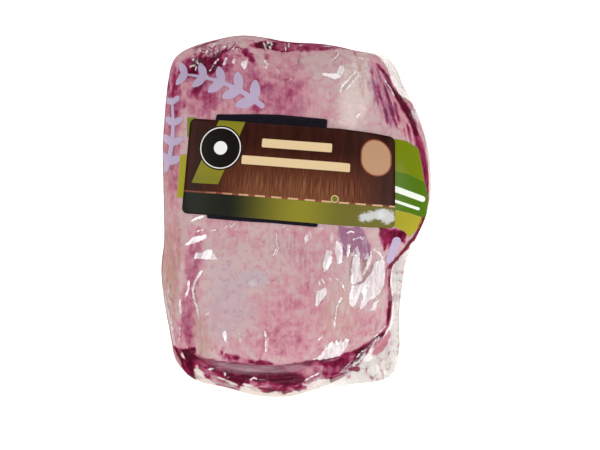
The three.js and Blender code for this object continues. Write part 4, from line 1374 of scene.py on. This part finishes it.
    # shapes where soft highlights are painted faintly white over milky film
    milk_and_faint_highlight: tuple = (
        *alike(Outline, (
            (23, -8, 26, -9.5, 26.5, -15.5, 24.5, -18, 22.5, -14.5), (6, -11, 9, -9, 10.5, -13, 8, -18, 6, -16),
            (58, 114.5, 65.5, 112, 68.5, 107, 63, 107), (81.5, 79, 88.5, 70.5, 90.5, 62, 85.5, 66.5, 81.5, 73),
            (31, -109.5, 39.5, -103.5, 49.5, -94, 58, -84, 60, -85.5, 53.5, -95.5, 45, -104.5, 36.5, -112),
            (-97, -51.5, -94, -48.5, -88.5, -71.5, -85.5, -87, -89, -85.5),
            (3, -118, 15.5, -113, 24, -116, 9.5, -122),
        )),
    )
    lilac: tuple = (
        *sprig(curved((-24, 78), (-48, 98), (-82, 101), 8), 5, 16.0, 7.6, 50.0),
        *sprig(curved((-92, 34), (-84, 56), (-88, 84), 6), 4, 12.0, 6.0, 50.0),
        Stroke((70.5, -17, 65.5, -30), 6.5, 5.0),
    )
    lime: tuple = (
        *alike(Outline, (
            (66, 55.5, 77, 54, 86, 49, 88.4, 37, 90.5, 24, 66, 33), (-76.5, 70, -70, 70, -71.5, 55, -76.5, 56.5),
        )),
    )
    leaf: tuple = (
        Outline((66, 33, 78, 30.5, 91, 24.5, 93.5, 12, 92, -1, 80, 3, 66, 6)),
    )
    lemon: tuple = (
        *alike(Outline, (
            (66, 6, 80, 3, 92, -1, 87, -7.5, 80, -14, 76, -10, 66, -5), (-81.5, 43.5, -73, 44.5, -75.5, 14, -84, 14),
        )),
    )
    cream: tuple = (
        Stroke((69, 20, 89, 13), 4.2, 4.0), Stroke((69, 11.5, 86, 6), 2.0, 2.0),
    )
    juice: tuple = (
        Stroke((65.5, -38.5, 77, -39), 0.9, 0.9),
        *alike(Outline, (
            (54, -93.5, 55, -88.5, 60.5, -85, 66.5, -80, 67.5, -84, 65, -90.5, 62, -95.5, 58, -98.5, 54.5, -98.5),
            (36, -112, 38.5, -112, 38.5, -114.5, 36, -114.5),
        )),
        Stroke((39.5, -105.5, 43.5, -109.5, 46, -109), 1.6, 1.0),
        Stroke((46, -109, 51, -113, 54.5, -116.5), 1.0, 0.8),
        Stroke((58.5, -102.5, 60.5, -108.5, 62, -116), 0.9, 0.7),
        Stroke((68, -87, 66.5, -95.5, 63.5, -101), 0.8, 0.6),
    )
    clot: tuple = (
        Stroke((90.5, -1, 85.5, -12.5, 77, -22.5, 71.5, -29.5, 65, -36), 3.0, 2.6),
        Stroke((88.5, -6, 80.5, -18, 73, -26.5), 0.8, 0.7),
        *alike(Outline, (
            (36.5, -108.5, 40, -105.5, 45, -106, 47, -108.5, 43.5, -111, 39.5, -109),
            (49, -93.5, 52, -90.5, 53, -92, 50.5, -95.5, 49, -96),
        )),
        *alike(Stroke, (
            (50, -110.5, 55, -115.5), (58.5, -102.5, 61.5, -109, 62.5, -116),
        ), 0.8, 0.6),
        *alike(Stroke, (
            (49.5, -107.5, 55, -104.5, 59.5, -101), (67, -89, 70.5, -94, 73.5, -97), (63.5, -94, 66.5, -98.5),
        ), 0.7, 0.5),
    )

    def rise(self, surface: Surface) -> np.ndarray:
        """How far folds, crumples and pleats lift the film at every vertex."""
        out = np.zeros(len(surface.place))
        crowds = [fold for crowd in (*self.crumples, *self.pleats) for fold in crowd.folds()]
        for fold in (*self.folds, *crowds):
            out = np.maximum(out, fold.rise(surface.x, surface.y))
        return out * self._clear_of_labels(surface) * ease(surface.normal[:, 2], -0.2, 0.2)

    def _clear_of_labels(self, surface: Surface) -> np.ndarray:
        """0 under the labels, which hold the film flat, and 1 from a few millimetres away."""
        return ease(inside_outline(surface.x, surface.y, LABELLED), 0.0, self.label_margin)

    def haze(self, surface: Surface) -> np.ndarray:
        """How milky the film is: clear on the meat, pale in free flaps and grey where it bridges the sawn end."""
        free = self._free(surface)
        past = surface.past_cut()
        bridge = ease(past, -0.5, 1.0) * ease(past, 9.0, 5.0) * ease(surface.x, -66, -52) * ease(surface.x, 14, -4)
        bridge = np.where(surface.y < 0, bridge, 0.0) * surface.off_the_base()
        streaks = 1 + 0.8 * drift(np.stack([surface.x / 10, past, past * 0], axis=1), 1.8, 6.0)
        flap = self.flap_milk * free * (1 + 0.35 * drift(surface.place, 9.0, 9.0))
        milk = self.bridge_milk + self.thick_milk * self.thick.share(surface, 0.0)
        grey = np.maximum(milk * bridge * streaks, most(self.smoky, surface, 0.0))
        return np.clip(np.stack([flap, grey, free, free * 0 + 1], axis=1), 0.0, 1.0)

    def _free(self, surface: Surface) -> np.ndarray:
        """1 where nothing but film is left past the girth, and 0 on the meat."""
        past = ease(self.skin.past_girth(surface.x, surface.y), 0.3, 1.6)
        turns = np.degrees(np.arctan2(surface.y, surface.x)) % 360
        return past * (1 - np.interp(turns, *zip(*MEAT_IN_FLAP)))

    def crinkle(self, surface: Surface) -> np.ndarray:
        """Heights in millimetres of crumples, pleats and ripples finer than the mesh, as three parts of a colour."""
        ragged = drift(surface.place, 7.0, 7.0)
        clear = self._clear_of_labels(surface)
        crumple = most(self.crumpled, surface, ragged)
        pleat = most(self.pleated, surface, ragged)
        ripple = self.ripple + 0.2 * drift(surface.place, 25.0, 8.0)
        parts = [crumple * clear, self.fine_pleat * pleat * clear, ripple * (0.3 + 0.7 * clear), np.ones(len(ragged))]
        return np.stack(parts, axis=1)

    def off_the_meat(self, surface: Surface, rise: np.ndarray) -> np.ndarray:
        """The signed distance to the places where the film stands off the meat and so is at its glossiest."""
        return np.minimum(self._nearest(self.milk_and_highlight, surface), self.stuck - self.lift_share * rise)

    def _nearest(self, shapes: tuple[Outline | Stroke, ...], surface: Surface) -> np.ndarray:
        """The signed distance to the nearest of several shapes."""
        return np.min([s.away(surface.x, surface.y) for s in shapes], axis=0)

    def store_print(self, surface: Surface) -> None:
        """Keeps the signed distance of each ink and of the painted highlight shapes, so that the material draws its
        edge crisply.
        """
        below = np.where(surface.normal[:, 2] < -0.1, NOWHERE, 0.0)
        for name in ("lilac", "juice", "clot", "milk_and_highlight", "milk_and_faint_highlight"):
            away = self._nearest(getattr(self, name), surface) + below
            if name in ("juice", "clot"):
                away = away + self.juice_ragged * drift(surface.place, 4.0, 10.0)
            surface.store(name, away)
        short_of_base = np.where(surface.normal[:, 2] < 0, self.band_ends - surface.z, -NOWHERE)
        for name in ("lime", "leaf", "lemon", "cream"):
            surface.store(name, np.maximum(self._nearest(getattr(self, name), surface), short_of_base))

    def build(self) -> bpy.types.Object:
        """Makes the film, folded and printed."""
        surface = Surface(self.skin.smooth_mesh("film_bag", drawn_in=False))
        self.store_print(surface)
        surface.store("haze", self.haze(surface))
        surface.store("crinkle", self.crinkle(surface))
        rise = self.rise(surface)
        surface.store("stands_off", self.off_the_meat(surface, rise))
        surface.push(rise)
        surface.mesh.materials.append(self.finish.material())
        return in_scene("film_bag", surface.mesh)


# ---------------------------------------------------------------- the labels
@dataclass
class PackLabel:
    """A stuck-on label of thin film, bent over the bag."""

    name: str
    centre: Point
    size: Point
    corner: float
    lift: float  # off the bag's skin
    finish: LabelInk | FrontPrint
    bow: tuple[tuple[float, float, float], ...]  # places along it, and how far its upper and lower edge bend up there
    ends: tuple[float, float, float] = (1.0, 1.0, 0.0)  # left and right reach, and how far the right end slants in
    turn: float = -5.3
    cell: float = 1.6
    thickness: float = 0.14
    from_height: float = 200.0  # above the whole bag, from where its skin is looked for

    def build(self, ground: BVHTree) -> bpy.types.Object:
        """Makes the label.

        Args:
            ground: The bag's smooth skin, which the label lies on.

        Returns:
            The label's object.
        """
        sheet = bmesh.new()
        columns, rows = (round(s / self.cell) for s in self.size)
        bmesh.ops.create_grid(sheet, x_segments=columns, y_segments=rows, size=0.5)
        flat = sheet.verts.layers.float_vector.new("print_mm")
        angle = math.radians(self.turn)
        for vertex in sheet.verts:
            u, v = self._drawn_in(vertex.co.x * self.size[0], vertex.co.y * self.size[1])
            vertex[flat] = (u, v, 0.0)
            v = self._bowed(u, v)
            left, right, slant = self.ends
            u *= left if u < 0 else right - slant * v / self.size[1]
            x = self.centre[0] + u * math.cos(angle) - v * math.sin(angle)
            y = self.centre[1] + u * math.sin(angle) + v * math.cos(angle)
            above = Vector((x * MM, y * MM, self.from_height * MM))
            hit, normal, _, _ = ground.ray_cast(above, Vector((0, 0, -1)))
            vertex.co = hit + normal * self.lift * MM
        bmesh.ops.recalc_face_normals(sheet, faces=sheet.faces)
        mesh = bpy.data.meshes.new(self.name)
        sheet.to_mesh(mesh)
        sheet.free()
        mesh.polygons.foreach_set("use_smooth", [True] * len(mesh.polygons))
        label = in_scene(self.name, mesh)
        thick = label.modifiers.new("thickness", "SOLIDIFY")
        thick.thickness, thick.offset = self.thickness * MM, 1.0
        mesh.materials.append(self.finish.material())
        return label

    def _bowed(self, u: float, v: float) -> float:
        """Bends a place up or down with the label's edges, which follow the bulge of the meat."""
        along, upper, lower = zip(*self.bow)
        share = v / self.size[1] + 0.5
        return v + share * float(np.interp(u, along, upper)) + (1 - share) * float(np.interp(u, along, lower))

    def _drawn_in(self, u: float, v: float) -> Point:
        """Draws a place near a corner in, onto the corner's round."""
        core_u, core_v = self.size[0] / 2 - self.corner, self.size[1] / 2 - self.corner
        past_u, past_v = abs(u) - core_u, abs(v) - core_v
        if past_u <= 0 or past_v <= 0:
            return u, v
        share = min(1.0, self.corner / math.hypot(past_u, past_v))
        return math.copysign(core_u + past_u * share, u), math.copysign(core_v + past_v * share, v)


# ---------------------------------------------------------------- the studio
@dataclass
class Studio:
    """A pale floor, soft boxes either side, and a camera looking straight down."""

    frame_width: float = 426.0  # what the picture takes in across, at the girth's height
    look_at: Point = (2.5, -5.3)
    camera_height: float = 2500.0
    girth_height: float = 25.0
    sensor: float = 36.0
    floor_gap: float = 0.3  # below the pack, so that its flat underside and the floor don't share a plane
    floor_reach: float = 3000.0  # from the middle to an edge
    surround: float = 0.16  # strength of the light from all round
    aim_height: float = 40.0  # on the pack, where the soft boxes point
    paint: LitAcrylic = LitAcrylic()

    def build(self) -> None:
        """Makes the floor, lights, surroundings and camera."""
        self._floor()
        self._surroundings()
        # Each soft box's place and size in metres, and its power in watts.
        for name, place, size, power in (
            ("soft_box_left", (-1.0, -0.12, 0.9), (0.9, 0.9), 10.6),
            ("soft_box_right", (1.0, -0.15, 0.9), (0.9, 0.9), 11.4),
            ("soft_box_head", (0.15, 1.15, 0.72), (0.9, 0.7), 5.0),
            ("soft_box_foot", (0.2, -1.15, 0.62), (0.9, 0.6), 6.2),
        ):
            self._soft_box(name, Vector(place), size, power)
        self._camera()

    def _floor(self) -> None:
        """A large flat light table, which isn't part of the pack."""
        sheet = bmesh.new()
        under = Matrix.Translation((0, 0, -self.floor_gap * MM))
        bmesh.ops.create_grid(sheet, x_segments=4, y_segments=4, size=self.floor_reach * MM, matrix=under)
        mesh = bpy.data.meshes.new("studio_floor")
        sheet.to_mesh(mesh)
        sheet.free()
        floor = in_scene("studio_floor", mesh)
        mesh.materials.append(self.paint.material())
        floor.visible_glossy = False
        floor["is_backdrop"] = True

    def _surroundings(self) -> None:
        """Even pale light from all round."""
        world = bpy.data.worlds.new("pale_studio")
        world.use_nodes = True
        glow = world.node_tree.nodes["Background"].inputs
        glow["Color"].default_value = (1, 1, 1, 1)
        glow["Strength"].default_value = self.surround
        world.cycles_visibility.glossy = False
        bpy.context.scene.world = world

    def _soft_box(self, name: str, place: Vector, size: Point, power: float) -> None:
        """One soft box, aimed at the pack."""
        lamp = bpy.data.lights.new(name, "AREA")
        lamp.shape, lamp.size, lamp.size_y, lamp.energy = "RECTANGLE", size[0], size[1], power
        box = in_scene(name, lamp)
        box.location = place
        box.rotation_euler = (Vector((0, 0, self.aim_height * MM)) - place).to_track_quat("-Z", "Y").to_euler()

    def _camera(self) -> None:
        """A long lens straight above the pack."""
        camera = bpy.data.cameras.new("camera")
        away = self.camera_height - self.girth_height
        camera.sensor_width, camera.lens = self.sensor, self.sensor * away / self.frame_width
        camera.clip_start, camera.clip_end = 0.1, 20.0  # metres
        holder = in_scene("camera", camera)
        holder.location = (self.look_at[0] * MM, self.look_at[1] * MM, self.camera_height * MM)
        bpy.context.scene.camera = holder


def main() -> None:
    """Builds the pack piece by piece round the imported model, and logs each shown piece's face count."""
    logging.basicConfig(level=logging.INFO, format="%(name)s: %(message)s")
    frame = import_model()
    bpy.context.scene.view_settings.view_transform = "Standard"
    skin = BagSkin(frame["nodes"]["bagged_leg"])
    leg = LambLeg(skin).build()
    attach(leg, "root")
    bag = FilmBag(skin).build()
    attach(bag, "root")
    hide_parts("bagged_leg")
    ground = BVHTree.FromPolygons([v.co for v in bag.data.vertices], [p.vertices for p in bag.data.polygons])
    under_bow = ((-38, -3.0, -0.8), (-21, -1.4, -0.8), (-7, 0.0, -0.5), (7, 0.7, 0.0), (38, 0.7, 0.0))
    front_bow = (
        (-74, -0.8, -1.4), (-60, -0.6, -1.1), (-51, -0.4, -0.7), (-23, 0.3, -0.3),
        (10, 0.9, 0.0), (35, 1.4, 0.2), (57, 0.6, 1.0), (74, -0.8, 2.0),
    )
    labels = (
        PackLabel("label_under", (-20.4, 34.0), (77.5, 75.0), 1.0, 0.2, LabelInk(), under_bow),
        PackLabel("label_front", (-4.5, 30.5), (148.5, 66.0), 4.0, 0.5, FrontPrint(), front_bow, (0.978, 0.992, 0.082)),
    )
    for label, node, slot in zip(labels, ("dark_label", "front_label"), ("dark_label", "front_label")):
        piece = label.build(ground)
        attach(piece, "root")
        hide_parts(node)
    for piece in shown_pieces():
        LOG.info("%s: %d faces", piece.name, len(piece.data.polygons))
    Studio().build()


if __name__ == "__main__":
    main()
